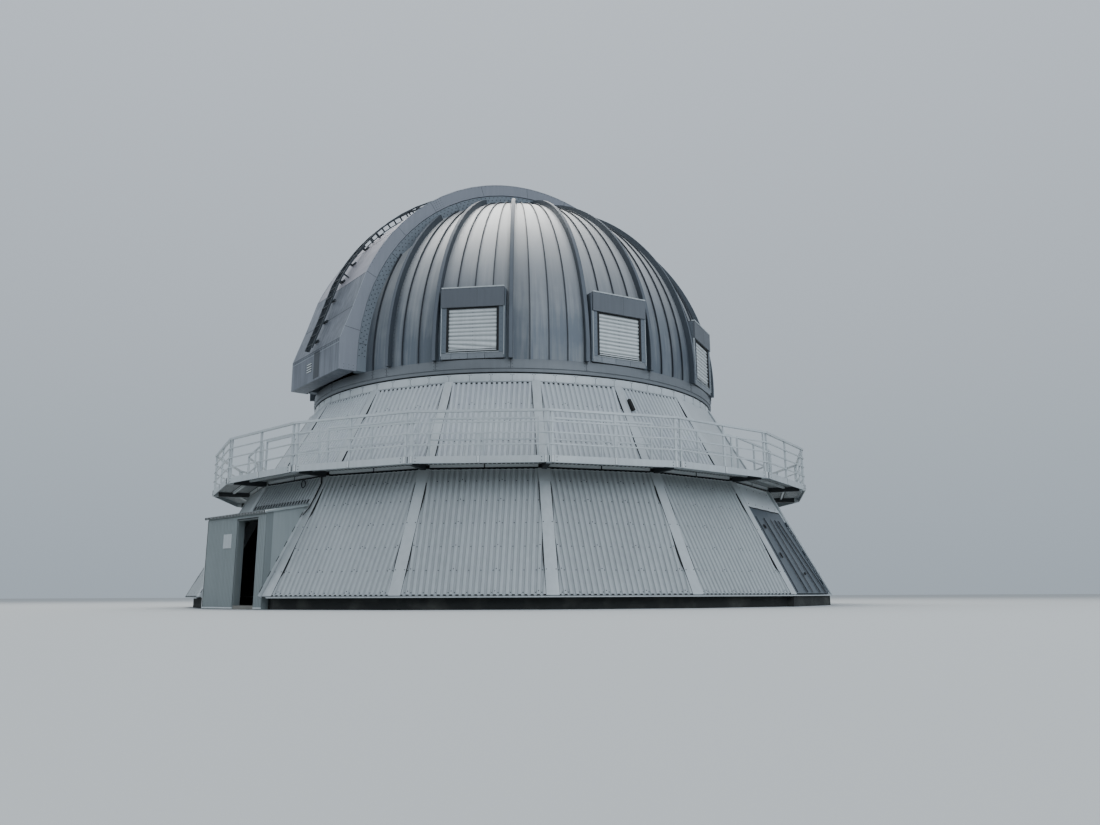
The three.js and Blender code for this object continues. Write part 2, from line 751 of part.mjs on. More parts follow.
// Shell with its ribs, for one side of the slit; the other side is its mirror image.
const shellFoot = domeZ(SKIRT_TOP) + GAP;
const footAngle = THREE.MathUtils.radToDeg(Math.asin(shellFoot / DOME_RADIUS));
const SHELL_LATITUDE_STEP = 7.5;
const LINING_LATITUDE_STEP = 15;
function ballProfile(radius, low, step) {
  const points = [
    [0, low],
    [radius * Math.cos(rad(footAngle)), low],
  ];
  for (let latitude = step / 2; latitude < 90; latitude += step) {
    points.push([radius * Math.cos(rad(latitude)), radius * Math.sin(rad(latitude))]);
  }
  return [...points, [0, radius]];
}
const shell = turned(
  ballProfile(DOME_RADIUS, shellFoot, SHELL_LATITUDE_STEP),
  360 / SEAM_STEP,
).subtract(
  turned(
    ballProfile(DOME_RADIUS - SHELL_THICKNESS, shellFoot - CUT_MARGIN, LINING_LATITUDE_STEP),
    RING_SEGMENTS,
  ),
);
const ribOutline = [
  [DOME_RADIUS - RIB_ROOT, shellFoot],
  [RIB_RADIUS, shellFoot],
  ...arc(RIB_RADIUS, 0, RIB_TOP_ANGLE, RIB_ANGLE_STEP),
  ...arc(DOME_RADIUS - RIB_ROOT, RIB_TOP_ANGLE, 0, RIB_ANGLE_STEP),
];
const rib = acrossExtrusion(ribOutline, -RIB_WIDTH / 2, RIB_WIDTH / 2);

// A solid turned about the upright axis by an azimuth.
function turnedTo(body, az) {
  const mesh = piece("turned", body, null);
  return solid(mesh.geometry.rotateZ(rad(az)));
}

// A window's surround: side fins, sill and hood in one box, closed by its louvred shutter.
const surroundBox = block(
  [-SURROUND.halfWidth, -WINDOW.front, domeZ(SURROUND.bottom)],
  [SURROUND.halfWidth, -WINDOW.back, domeZ(SURROUND.top)],
);
const windowHole = block(
  [-WINDOW.halfWidth, -WINDOW.front - CUT_MARGIN, domeZ(WINDOW.sill)],
  [WINDOW.halfWidth, -WINDOW.back + CUT_MARGIN, domeZ(WINDOW.head)],
);
const louvreOut = WINDOW.front - LOUVRE_SETBACK;
const louvre = block(
  [-WINDOW.halfWidth - JOINT_LAP, -louvreOut, domeZ(WINDOW.sill) - JOINT_LAP],
  [WINDOW.halfWidth + JOINT_LAP, -louvreOut + LOUVRE_THICKNESS, domeZ(WINDOW.head) + JOINT_LAP],
);
const domeWindow = surroundBox.subtract(windowHole).add(louvre);
const windowCut = block(
  [-SURROUND.halfWidth - GAP, -WINDOW.front - CUT_MARGIN, domeZ(SURROUND.bottom) - GAP],
  [SURROUND.halfWidth + GAP, -WINDOW.back + CUT_MARGIN, domeZ(SURROUND.top) + GAP],
);

let dressedShell = shell;
for (const az of RIB_TURNS) {
  dressedShell = dressedShell.add(turnedTo(rib, az));
}
for (const az of WINDOW_AZ) {
  dressedShell = dressedShell.subtract(turnedTo(windowCut, az));
}
const SHELL_QUARTERS = {
  front: [-FAR, -RIB_WIDTH / 2 - GAP],
  rear: [-RIB_WIDTH / 2, FAR],
};
for (const [end, [y0, y1]] of Object.entries(SHELL_QUARTERS)) {
  const quarter = dressedShell.intersect(
    block([GIRDER_OUTER_FACE + GAP, y0, -FAR], [FAR, y1, FAR]),
  );
  dome.add(piece(`dome_shell_${end}_right`, quarter, domeMetal()));
  const mirrored = piece(`dome_shell_${end}_left`, quarter, domeMetal());
  mirrored.scale.x = -1;
  dome.add(mirrored);
}
[...WINDOW_AZ, ...WINDOW_AZ.map((az) => -az)].forEach((az, i) => {
  const mesh = piece(`dome_window_${i + 1}`, domeWindow, hoodMetal());
  mesh.rotation.z = rad(az);
  dome.add(mesh);
});

// Arch girders on both sides of the slit, and the fixed band behind it.
const girderOutline = [
  [GIRDER_TOP_RADIUS, shellFoot],
  ...arc(GIRDER_TOP_RADIUS, 0, 180),
  [-GIRDER_TOP_RADIUS, shellFoot],
  [-GIRDER_TOP_RADIUS + GIRDER_DEPTH, shellFoot],
  ...arc(GIRDER_TOP_RADIUS - GIRDER_DEPTH, 180, 0),
  [GIRDER_TOP_RADIUS - GIRDER_DEPTH, shellFoot],
];
const girderInnerFace = GIRDER_OUTER_FACE - GIRDER_WIDTH;
const girder = acrossExtrusion(girderOutline, girderInnerFace, GIRDER_OUTER_FACE);
const leftGirder = piece("slit_girder_left", girder, fasciaMetal());
leftGirder.scale.x = -1;
dome.add(piece("slit_girder_right", girder, fasciaMetal()), leftGirder);
const bandInner = REAR_BAND_RADIUS - SHELL_THICKNESS;
const bandOutline = [
  ...arc(REAR_BAND_RADIUS, REAR_BAND_START, 180),
  [-REAR_BAND_RADIUS, shellFoot],
  [-bandInner, shellFoot],
  ...arc(bandInner, 180, REAR_BAND_START),
];
dome.add(
  piece(
    "dome_rear_band",
    acrossExtrusion(bandOutline, -girderInnerFace + GAP, girderInnerFace - GAP),
    domeMetal(),
  ),
);

// Shutter

const shutter = new THREE.Group();
dome.add(shutter);
const frontPoints = SHUTTER_FRONT.map(([reach, z]) => [reach, domeZ(z)]);
const shrunk = ([x, z], inset) => {
  const length = Math.hypot(x, z);
  return [(x * (length - inset)) / length, (z * (length - inset)) / length];
};
const frontEnd = THREE.MathUtils.radToDeg(
  Math.atan2(frontPoints.at(-1)[1], frontPoints.at(-1)[0]),
);
const JOINT_GAP_ANGLE = THREE.MathUtils.radToDeg(GAP / SHUTTER_RADIUS);
const skinHalf = SHUTTER_HALF_WIDTH - FASCIA_THICKNESS - GAP;
const [footReach, footZ] = frontPoints[0];
const frontOutline = [
  ...frontPoints,
  ...frontPoints.slice(1).reverse().map((p) => shrunk(p, SHUTTER_SKIN)),
  [footReach - SHUTTER_SKIN, footZ + SHUTTER_SKIN],
  [FASCIA_INNER + FOOT_SETBACK, footZ + SHUTTER_SKIN],
  [FASCIA_INNER + FOOT_SETBACK, footZ],
];
shutter.add(
  piece("shutter_front", acrossExtrusion(frontOutline, -skinHalf, skinHalf), fasciaMetal()),
);
const skinArc = (from, to) =>
  acrossExtrusion(
    [...arc(SHUTTER_RADIUS, from, to), ...arc(SHUTTER_RADIUS - SHUTTER_SKIN, to, from)],
    -skinHalf,
    skinHalf,
  );
shutter.add(
  piece("shutter_middle", skinArc(frontEnd + JOINT_GAP_ANGLE, SHUTTER_SPLIT), fasciaMetal()),
  piece("shutter_top", skinArc(SHUTTER_SPLIT + JOINT_GAP_ANGLE, SHUTTER_END), fasciaMetal()),
);

// Side plates of the shutter with the rollers that run on the girders.
const fasciaOutline = [
  ...frontPoints,
  ...arc(SHUTTER_RADIUS, frontEnd + 1, SHUTTER_END),
  ...arc(FASCIA_INNER, SHUTTER_END, 0),
  [FASCIA_INNER, footZ],
];
const rollers = ROLLER_ANGLES.map((angle) => {
  const centre = GIRDER_TOP_RADIUS + GAP + ROLLER_RADIUS;
  const circle = [];
  for (let k = 0; k < ROLLER_SIDES; k += 1) {
    const a = rad(angle + (k * 360) / ROLLER_SIDES);
    circle.push([
      centre * Math.cos(rad(angle)) + ROLLER_RADIUS * Math.cos(a),
      centre * Math.sin(rad(angle)) + ROLLER_RADIUS * Math.sin(a),
    ]);
  }
  const inner = SHUTTER_HALF_WIDTH - FASCIA_THICKNESS;
  return acrossExtrusion(circle, inner - ROLLER_WIDTH, inner + JOINT_LAP);
});
const fascia = joined([
  acrossExtrusion(fasciaOutline, SHUTTER_HALF_WIDTH - FASCIA_THICKNESS, SHUTTER_HALF_WIDTH),
  ...rollers,
]);
const leftFascia = piece("shutter_side_left", fascia, fasciaMetal());
leftFascia.scale.x = -1;
shutter.add(piece("shutter_side_right", fascia, fasciaMetal()), leftFascia);

// Ladder along the middle of the shutter: two bars, rungs between them and feet on the skin.
const cornerAngles = frontPoints.slice(1).map(([x, z]) => THREE.MathUtils.radToDeg(Math.atan2(z, x)));
const cornerRadii = frontPoints.slice(1).map(([x, z]) => Math.hypot(x, z));
const polar = (radius, angle) => [radius * Math.cos(rad(angle)), radius * Math.sin(rad(angle))];
const skinRadius = (angle) => {
  const i = cornerAngles.findIndex((a) => a > angle);
  if (i < 0) return SHUTTER_RADIUS;
  const low = Math.max(i - 1, 0);
  if (low === i) return cornerRadii[0];
  return THREE.MathUtils.mapLinear(
    angle,
    cornerAngles[low],
    cornerAngles[i],
    cornerRadii[low],
    cornerRadii[i],
  );
};
const barPath = (standoff) => [
  ...cornerAngles.map((angle, i) => polar(cornerRadii[i] + standoff, angle)),
  ...arc(SHUTTER_RADIUS + standoff, Math.ceil(frontEnd / ARC_STEP) * ARC_STEP, LADDER_END),
];
const barOutline = [
  ...barPath(LADDER_STANDOFF),
  ...barPath(LADDER_STANDOFF - LADDER_BAR).reverse(),
];
const ladderParts = [-1, 1].map((side) =>
  acrossExtrusion(
    barOutline,
    side * LADDER_HALF_WIDTH - LADDER_BAR / 2,
    side * LADDER_HALF_WIDTH + LADDER_BAR / 2,
  ),
);
const radialBlock = (angle, r0, r1, height, x0, x1) => {
  const corners = [
    [r0, -height / 2],
    [r1, -height / 2],
    [r1, height / 2],
    [r0, height / 2],
  ];
  const a = rad(angle);
  const outline = corners.map(([r, h]) => [
    r * Math.cos(a) - h * Math.sin(a),
    r * Math.sin(a) + h * Math.cos(a),
  ]);
  return acrossExtrusion(outline, x0, x1);
};
for (let angle = cornerAngles[0] + 1; angle < LADDER_END; angle += LADDER_PITCH) {
  const middle = skinRadius(angle) + LADDER_STANDOFF - LADDER_BAR / 2;
  ladderParts.push(
    radialBlock(
      angle,
      middle - LADDER_RUNG / 2,
      middle + LADDER_RUNG / 2,
      LADDER_RUNG,
      -LADDER_HALF_WIDTH,
      LADDER_HALF_WIDTH,
    ),
  );
}
for (const angle of LADDER_FEET) {
  for (const side of [-1, 1]) {
    const x = side * LADDER_HALF_WIDTH;
    ladderParts.push(
      radialBlock(
        angle,
        SHUTTER_RADIUS + GAP,
        SHUTTER_RADIUS + LADDER_STANDOFF - LADDER_BAR / 2,
        LADDER_BAR,
        x - LADDER_BAR / 4,
        x + LADDER_BAR / 4,
      ),
    );
  }
}
shutter.add(piece("shutter_ladder", joined(ladderParts), ladderMetal()));

const observatory = new THREE.Group();
observatory.add(building, dome);

export default observatory;
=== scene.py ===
import bpy
import numpy as np
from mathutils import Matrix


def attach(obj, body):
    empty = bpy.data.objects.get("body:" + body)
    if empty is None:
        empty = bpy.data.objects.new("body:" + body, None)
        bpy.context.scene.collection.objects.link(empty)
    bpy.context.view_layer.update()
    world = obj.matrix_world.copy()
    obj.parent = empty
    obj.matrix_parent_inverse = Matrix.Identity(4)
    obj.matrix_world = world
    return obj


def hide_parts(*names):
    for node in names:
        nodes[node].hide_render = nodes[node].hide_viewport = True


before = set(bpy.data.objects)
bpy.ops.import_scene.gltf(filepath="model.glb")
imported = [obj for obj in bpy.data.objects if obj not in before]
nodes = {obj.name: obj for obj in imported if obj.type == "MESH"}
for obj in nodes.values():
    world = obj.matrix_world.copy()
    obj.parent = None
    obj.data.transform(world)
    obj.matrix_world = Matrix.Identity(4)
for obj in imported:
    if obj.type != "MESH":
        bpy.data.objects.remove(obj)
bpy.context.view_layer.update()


# Floor slab and foundation ring
# Cast concrete. The ring stands back under the cladding and is painted near black for the shade
# there; the slab carries the floor inside and runs out to the doorstep.


def linear(hex_colour):
    """A #rrggbb colour in linear light: each channel over 255, then the sRGB curve turned back."""
    channel = np.array([int(hex_colour[i : i + 2], 16) for i in (1, 3, 5)]) / 255
    value = np.where(channel <= 0.04045, channel / 12.92, ((channel + 0.055) / 1.055) ** 2.4)
    return (*value, 1.0)


def feed(tree, node, inputs):
    """Gives a shader node its inputs. One that is given as a socket is linked, any other is set."""
    for name, value in inputs.items():
        if isinstance(value, bpy.types.NodeSocket):
            tree.links.new(value, node.inputs[name])
        else:
            node.inputs[name].default_value = value


def add_node(tree, kind, inputs, **settings):
    """Adds a shader node with its settings and its inputs."""
    made = tree.nodes.new(kind)
    for name, value in settings.items():
        setattr(made, name, value)
    feed(tree, made, inputs)
    return made


def noise(tree, vector, scale, detail):
    """The value of a noise with about `scale` patches a metre."""
    inputs = {"Vector": vector, "Scale": scale, "Detail": detail}
    return add_node(tree, "ShaderNodeTexNoise", inputs).outputs[0]


def map_range(tree, value, low, high, to_low=0.0, to_high=1.0, curve="LINEAR"):
    """A value carried from one range to another, and held inside it."""
    inputs = {"Value": value, "From Min": low, "From Max": high, "To Min": to_low, "To Max": to_high}
    return add_node(tree, "ShaderNodeMapRange", inputs, interpolation_type=curve).outputs[0]


def mix(tree, share, first, second, blend="MIX"):
    """Two colours, mixed by a share."""
    inputs = {0: share, 6: first, 7: second}
    return add_node(tree, "ShaderNodeMix", inputs, data_type="RGBA", blend_type=blend).outputs[2]


def bump(tree, height, strength, distance):
    """The surface's normal, tilted as a height in metres would tilt it."""
    inputs = {"Strength": strength, "Distance": distance, "Height": height}
    return add_node(tree, "ShaderNodeBump", inputs).outputs[0]


def new_material(name):
    """An empty node material, its tree, its Principled shader and its Object coordinates."""
    material = bpy.data.materials.new(name)
    material.use_nodes = True
    tree = material.node_tree
    tree.nodes.clear()
    shader = add_node(tree, "ShaderNodeBsdfPrincipled", {})
    add_node(tree, "ShaderNodeOutputMaterial", {"Surface": shader.outputs[0]})
    return material, tree, shader, add_node(tree, "ShaderNodeTexCoord", {}).outputs["Object"]


def cast_concrete(name, colour, stain, stain_from, stain_to):
    """Concrete: a grey that clouds of about 60 cm mix with its stain, grit of about 8 mm, and a
    rough surface whose bump follows the grit."""
    material, tree, shader, place = new_material(name)
    share = map_range(tree, noise(tree, place, 1.7, 6), stain_from, stain_to)
    grit = add_node(tree, "ShaderNodeTexNoise", {"Vector": place, "Scale": 120, "Detail": 3})
    mixed = mix(tree, share, linear(colour), linear(stain))
    speckled = mix(tree, 0.35, mixed, grit.outputs["Color"], "SOFT_LIGHT")
    normal = bump(tree, grit.outputs[0], 0.5, 0.01)
    feed(tree, shader, {"Base Color": speckled, "Roughness": 0.92, "Normal": normal})
    return material


def dress(material, *names):
    """Gives CAD nodes their finish."""
    for name in names:
        nodes[name].data.materials.clear()
        nodes[name].data.materials.append(material)


# Cast concrete painted near black for the shade under the cladding's edge, with paler washed patches.
shade_dark_concrete = cast_concrete("shade_darkened_cast_concrete", "#232524", "#4b4c48", 0.5, 0.85)
# Trowelled concrete floor: pale grey, worn.
floor_concrete = cast_concrete("trowelled_concrete", "#7c7a74", "#5f5d58", 0.4, 0.8)
dress(shade_dark_concrete, "foundation_ring")
dress(floor_concrete, "floor_slab")


# Lower wall
# Eighteen sloping facets of painted box-rib steel sheet, screwed to the framing through the
# valleys and lapped every seven ribs. Folded flashings over black rubber cover the corners, the
# rubber standing as painted shadow lines beside them, and a drip angle closes the sheets' foot,
# where the ribs' open ends are painted dark as shade.
chance = np.random.default_rng(7)
SIDES = 18
FIRST_FACET_AZ = -5.1
PORCH_FACET = 16
HATCH_FACET = 3
COS_HALF = np.cos(np.pi / SIDES)
TAN_HALF = np.tan(np.pi / SIDES)
# A wall's foot and head, its corners' distance from the axis there, how far short of the corners
# its sheets stop, and half the width of the flashings there.
LOWER_WALL = {"z": (0.266, 2.984), "corner": (9.040, 7.579), "cover": 0.105, "strip": (0.133, 0.119)}
LOWER_SHEETS = (0.268, 2.975)
LOWER_SCREW_ROWS = (0.331, 0.770, 1.257, 1.757, 2.257, 2.706)
SHEET_THICKNESS = 0.0012
SHEET_BASE = 0.003
SHEET_RIBS = 7
LAP_OFFSET = -0.442
RIB_PITCH = 0.1235
RIB_DEPTH = 0.025
# One box rib: places across it in pitches, and how much of the rib's depth they rise.
RIB_ACROSS = np.array([-0.38, -0.35, -0.24, -0.20, 0.20, 0.24, 0.35, 0.38])
RIB_RISE = np.array([0.0, 0.06, 0.94, 1.0, 1.0, 0.94, 0.06, 0.0])


def placed(azimuth, right, out, z):
    """Points that lie `out` from the axis towards an azimuth, in degrees from -Y towards +X, and
    `right` of that line: x = out sin + right cos, y = -out cos + right sin."""
    a = np.radians(azimuth)
    x = out * np.sin(a) + right * np.cos(a)
    y = -out * np.cos(a) + right * np.sin(a)
    return np.stack(np.broadcast_arrays(x, y, z), -1)


def facet_azimuth(facet):
    """The azimuth of a facet's middle line."""
    return FIRST_FACET_AZ + 360 / SIDES * np.asarray(facet)


def wall_face(wall, z):
    """Distance of a facet's face from the axis at a height: a straight line up the slope."""
    (z0, z1), (r0, r1) = wall["z"], wall["corner"]
    return COS_HALF * (r0 + (np.asarray(z) - z0) * (r1 - r0) / (z1 - z0))


def wall_lean(wall):
    """A wall's lean from the upright, in radians."""
    (z0, z1), (r0, r1) = wall["z"], wall["corner"]
    return np.arctan(COS_HALF * (r0 - r1) / (z1 - z0))


def on_wall(wall, facet, right, z, proud):
    """Points that stand `proud` of a facet along its normal, over the place right, z on its face."""
    lean = wall_lean(wall)
    out = wall_face(wall, z) + proud * np.cos(lean)
    return placed(facet_azimuth(facet), right, out, z + proud * np.sin(lean))


def facet_directions(wall, facet):
    """Level across a facet, straight out of it, and up its slope."""
    azimuth, lean = facet_azimuth(facet), wall_lean(wall)
    out = placed(azimuth, 0.0, np.cos(lean), np.sin(lean))
    return placed(azimuth, 1.0, 0.0, 0.0), out, placed(azimuth, 0.0, -np.sin(lean), np.cos(lean))


def corner_at(wall, z, proud):
    """How far from a facet's middle line the corner lies, for a surface that stands proud."""
    return (wall_face(wall, z) + proud * np.cos(wall_lean(wall))) * TAN_HALF


def grid(points, loop_rows=False, loop_columns=False, tone=0.5, uv=None):
    """The part of a mesh whose points are given row by row: each four neighbours make a face."""
    rows, columns = points.shape[:2]
    i = np.arange(rows if loop_rows else rows - 1)[:, None]
    j = np.arange(columns if loop_columns else columns - 1)[None, :]
    ahead, beside = (i + 1) % rows, (j + 1) % columns
    corners = [i * columns + j, i * columns + beside, ahead * columns + beside, ahead * columns + j]
    faces = np.stack(np.broadcast_arrays(*corners), -1).reshape(-1, 4)
    tones = np.broadcast_to(tone, (rows, columns)).reshape(-1)
    uvs = np.zeros((rows * columns, 2)) if uv is None else uv.reshape(-1, 2)
    return points.reshape(-1, 3), faces, tones, uvs


def unit(vectors):
    """Vectors divided by their lengths."""
    return vectors / np.linalg.norm(vectors, axis=-1, keepdims=True)


BOX_RING = ((-0.5, -0.5), (0.5, -0.5), (0.5, 0.5), (-0.5, 0.5))
BOX_CORNERS = np.array([[x, y, z] for z in (-0.5, 0.5) for x, y in BOX_RING])
BOX_FACES = np.array(
    [[0, 3, 2, 1], [4, 5, 6, 7], [0, 1, 5, 4], [1, 2, 6, 5], [2, 3, 7, 6], [3, 0, 4, 7]]
)


def repeated(corners, faces, tone=0.5):
    """Many copies of one small shape: corners is copies x points x 3, faces is for one copy."""
    copies, count = corners.shape[:2]
    shifted = faces[None] + count * np.arange(copies)[:, None, None]
    tones = np.repeat(np.broadcast_to(tone, copies), count)
    return corners.reshape(-1, 3), shifted.reshape(-1, 4), tones, np.zeros((copies * count, 2))


def boxes(centre, right, up, size, tone=0.5):
    """Blocks by their centres, their right and up directions, and their sizes along right, the
    third direction and up. The third direction is up x right."""
    centre = np.atleast_2d(centre)
    right = unit(np.broadcast_to(right, centre.shape).astype(float))
    third = unit(np.cross(np.broadcast_to(up, centre.shape), right))
    sides = np.stack([right, third, np.cross(right, third)], 1)
    size = np.broadcast_to(size, centre.shape)[..., None]
    return repeated(centre[:, None] + BOX_CORNERS @ (sides * size), BOX_FACES, tone)


def quad_fan(corners):
    """Faces that close a ring with an even number of corners, all from its first corner."""
    k = 2 * np.arange(corners // 2 - 1)
    return np.stack([0 * k, k + 1, k + 2, k + 3], -1)


def screws(centre, normal, radius=0.013, height=0.007, sides=6):
    """Screw or rivet heads: low prisms whose crown is narrower than their foot."""
    centre = np.atleast_2d(centre)
    normal = unit(np.broadcast_to(normal, centre.shape).astype(float))
    helper = np.where(np.abs(normal[:, 2:]) < 0.9, [[0.0, 0.0, 1.0]], [[1.0, 0.0, 0.0]])
    across = unit(np.cross(helper, normal))
    turn = (2 * np.pi * np.arange(sides) / sides)[:, None]
    spoke = np.cos(turn) * across[:, None] + np.sin(turn) * np.cross(normal, across)[:, None]
    foot = centre[:, None] + radius * spoke
    crown = centre[:, None] + 0.72 * radius * spoke + height * normal[:, None]
    j = np.arange(sides)
    k = (j + 1) % sides
    faces = np.concatenate([np.stack([j, k, k + sides, j + sides], -1), quad_fan(sides) + sides])
    return repeated(np.concatenate([foot, crown], 1), faces)


def capped(sections):
    """A closed bar from its sections, one row each, whose even number of corners run anticlockwise
    for an eye at the far end of the bar."""
    points, faces, tones, uvs = grid(sections, loop_columns=True)
    corners = sections.shape[1]
    cap = quad_fan(corners)
    return points, np.concatenate([faces, cap[:, ::-1], len(points) - corners + cap]), tones, uvs


def bar(path, across, outwards, width, depth):
    """A bar of rectangular section along a path: at each of its points the section lies `width`
    along `across` and from 0 to `depth` along `outwards`. Both ends are closed."""
    across = np.broadcast_to(across, path.shape) * width / 2
    outwards = np.broadcast_to(outwards, path.shape) * depth
    corners = [path + across, path - across, path - across + outwards, path + across + outwards]
    section = np.stack(corners, 1)
    turned_over = np.sum(np.cross(across[0], path[1] - path[0]) * outwards[0]) < 0
    return capped(section[:, ::-1] if turned_over else section)


def piece(name, parts, material, body=None, thickness=0.0):
    """One object at the origin from its parts, with the tone of each part as an attribute. Faces
    are smooth except across edges sharper than 35 degrees. A piece with no body is staging."""
    starts = np.cumsum([0] + [len(p[0]) for p in parts[:-1]])
    points, tones, uvs = [np.concatenate([p[k] for p in parts]).astype(np.float32) for k in (0, 2, 3)]
    faces = np.concatenate([p[1] + s for p, s in zip(parts, starts)]).astype(np.int32)
    mesh = bpy.data.meshes.new(name)
    mesh.vertices.add(len(points))
    mesh.vertices.foreach_set("co", points.ravel())
    mesh.loops.add(faces.size)
    mesh.loops.foreach_set("vertex_index", faces.ravel())
    mesh.polygons.add(len(faces))
    mesh.polygons.foreach_set("loop_start", np.arange(0, faces.size, 4, dtype=np.int32))
    mesh.polygons.foreach_set("use_smooth", np.ones(len(faces), bool))
    mesh.update(calc_edges=True)
    mesh.set_sharp_from_angle(angle=np.radians(35))
    edge_of_loop = np.empty(len(mesh.loops), np.int32)
    mesh.loops.foreach_get("edge_index", edge_of_loop)
    sharp = np.empty(len(mesh.edges), bool)
    mesh.attributes["sharp_edge"].data.foreach_get("value", sharp)
    sharp |= np.bincount(edge_of_loop, minlength=len(mesh.edges)) == 1
    mesh.attributes["sharp_edge"].data.foreach_set("value", sharp)
    mesh.attributes.new("tone", "FLOAT", "POINT").data.foreach_set("value", tones)
    mesh.uv_layers.new(name="surface").uv.foreach_set("vector", uvs[faces.ravel()].ravel())
    mesh.materials.append(material)
    made = bpy.data.objects.new(name, mesh)
    bpy.context.scene.collection.objects.link(made)
    if thickness:
        shell = made.modifiers.new("thickness", "SOLIDIFY")
        shell.thickness = thickness
        shell.offset = -1
    if body:
        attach(made, body)
    return made


def toned(tree, colour, tone_share):
    """A colour, lighter or darker by up to a share as the piece's tone attribute says."""
    tone = add_node(tree, "ShaderNodeAttribute", {}, attribute_name="tone").outputs["Fac"]
    level = map_range(tree, tone, 0, 1, 1 - tone_share, 1 + tone_share)
    inputs = {0: colour, "Scale": level}
    return add_node(tree, "ShaderNodeVectorMath", inputs, operation="SCALE").outputs[0]


def painted_sheet(name, colour, dirt, roughness=0.45, metallic=0.0, tone_share=0.0, runs=0.35):
    """Painted or bare metal sheet that stands in the weather: faint dirt in upright runs about
    9 cm wide and 1.2 m long, clouds of about 1.4 m that make the gloss vary too, and soft dents
    about 40 cm apart. A piece's tone attribute, where it counts, lightens or darkens a sheet."""
    material, tree, shader, place = new_material(name)
    upright = add_node(tree, "ShaderNodeMapping", {"Vector": place, "Scale": (7, 7, 0.5)}).outputs[0]
    cloud = noise(tree, place, 0.7, 6)
    both = {0: noise(tree, upright, 1.6, 5), 1: cloud}
    both = add_node(tree, "ShaderNodeMath", both, operation="MULTIPLY").outputs[0]
    share = map_range(tree, both, 0.16, 0.42, 0, runs)
    finish = mix(tree, share, linear(colour), linear(dirt))
    if tone_share:
        finish = toned(tree, finish, tone_share)
    gloss = map_range(tree, cloud, 0, 1, roughness - 0.08, roughness + 0.1)
    dents = bump(tree, noise(tree, place, 2.3, 2), 0.25, 0.012)
    feed(tree, shader, {"Base Color": finish, "Roughness": gloss, "Metallic": metallic, "Normal": dents})
    return material


# Coil-coated steel: a light neutral grey paint, half matt, with rain runs. The ribs' tops stand out
# lighter than the valleys, which hold dust and are darkened with painted shade.
wall_paint = painted_sheet("coil_coated_wall_sheet", "#9fa5a7", "#84898a", 0.5, 0.1, 0.11)
# The same sheet without ribs: flashings and trims, a shade lighter. The same paint makes the painted
# highlights on the windows' folded edges.
trim_and_highlight_paint = painted_sheet("coil_coated_trim_and_highlights", "#b0b6b8", "#8f9597", 0.42, 0.1, 0.05)
# Zinc-plated screw heads with dark rubber washers.
screw_steel = painted_sheet("zinc_plated_screws", "#34393d", "#24282b", 0.5, 0.6)
# Black rubber and black parts, and painted shade in open gaps, hollows and shadow lines: next to no light
# comes back from them.
black_and_painted_shade = painted_sheet("black_rubber_and_painted_shade", "#0d0e10", "#1a1b1d", 0.8)


def ribbed_sheet(wall, facet, z_low, z_high, keep=None):
    """Box-rib sheet on a facet. Each column of points runs up the slope at one place across. Its
    top is at z_high or, near a side, where the flashing's leaning edge crosses it. `keep` says
    which places across are clad."""
    (z0, z1), (r0, r1) = wall["z"], wall["corner"]
    reach = wall_face(wall, z_low) * TAN_HALF - wall["cover"]
    rib = np.floor((-reach - LAP_OFFSET) / RIB_PITCH) + np.arange(int(2 * reach / RIB_PITCH) + 3)
    folds = (LAP_OFFSET + (rib[:, None] + RIB_ACROSS) * RIB_PITCH).ravel()
    right = np.array([-reach, *folds[np.abs(folds) < reach], reach])
    rise = np.interp(right, folds, np.tile(RIB_RISE, len(rib)))
    if keep is not None:
        right, rise = right[keep(right)], rise[keep(right)]
    corner = (np.abs(right) + wall["cover"]) / TAN_HALF / COS_HALF
    top = np.clip(z0 + (corner - r0) * (z1 - z0) / (r1 - r0), z_low + 0.001, z_high)
    z = z_low + np.linspace(0, 1, 4)[:, None] * (top - z_low)
    sheet = np.floor((right - LAP_OFFSET) / (SHEET_RIBS * RIB_PITCH)).astype(int)
    # Each sheet's own random tone, and the rib's rise: the valleys darker with dust and painted shade.
    tones = 0.35 * chance.random(12)[sheet % 12] + 0.65 * rise
    return grid(on_wall(wall, facet, right, z, SHEET_BASE + RIB_DEPTH * rise), tone=tones)


def screw_rows(wall, facet, rows):
    """Screws through every second valley, two beside each lap, and one on the lap's own rib. None
    lies within 4 cm of the flashings."""
    lap = SHEET_RIBS * np.arange(-3, 4)
    valley = (lap[:, None] + [0.5, 2.5, 4.5, 6.5]).ravel()
    right, z = np.meshgrid(np.concatenate([valley, lap]) * RIB_PITCH + LAP_OFFSET, rows)
    on_rib = np.broadcast_to(np.repeat([0.0, 1.0], [len(valley), len(lap)]), right.shape)
    shown = np.abs(right) < wall_face(wall, z) * TAN_HALF - wall["cover"] - 0.04
    right, z, on_rib = right[shown], z[shown], on_rib[shown]
    foot = on_wall(wall, facet, right, z + 0.02 * on_rib, SHEET_BASE + RIB_DEPTH * on_rib)
    return screws(foot, facet_directions(wall, facet)[1])


def corner_flashing(wall, facet, z, half, proud):
    """A folded strip over the corner between a facet and the next one, with 8 mm of its edges
    turned in. z and half hold its height and half width at its foot and at its head."""
    z, half = np.array(z)[:, None], np.array(half)[:, None]
    edge = corner_at(wall, z, proud)
    inside = proud - 0.008
    left, right = np.hstack([edge - half, edge - half, edge]), np.hstack([half - edge, half - edge])
    left = on_wall(wall, facet, left, z, np.array([inside, proud, proud]))
    right = on_wall(wall, facet + 1, right, z, np.array([proud, inside]))
    return grid(np.concatenate([left, right], 1), tone=chance.random())


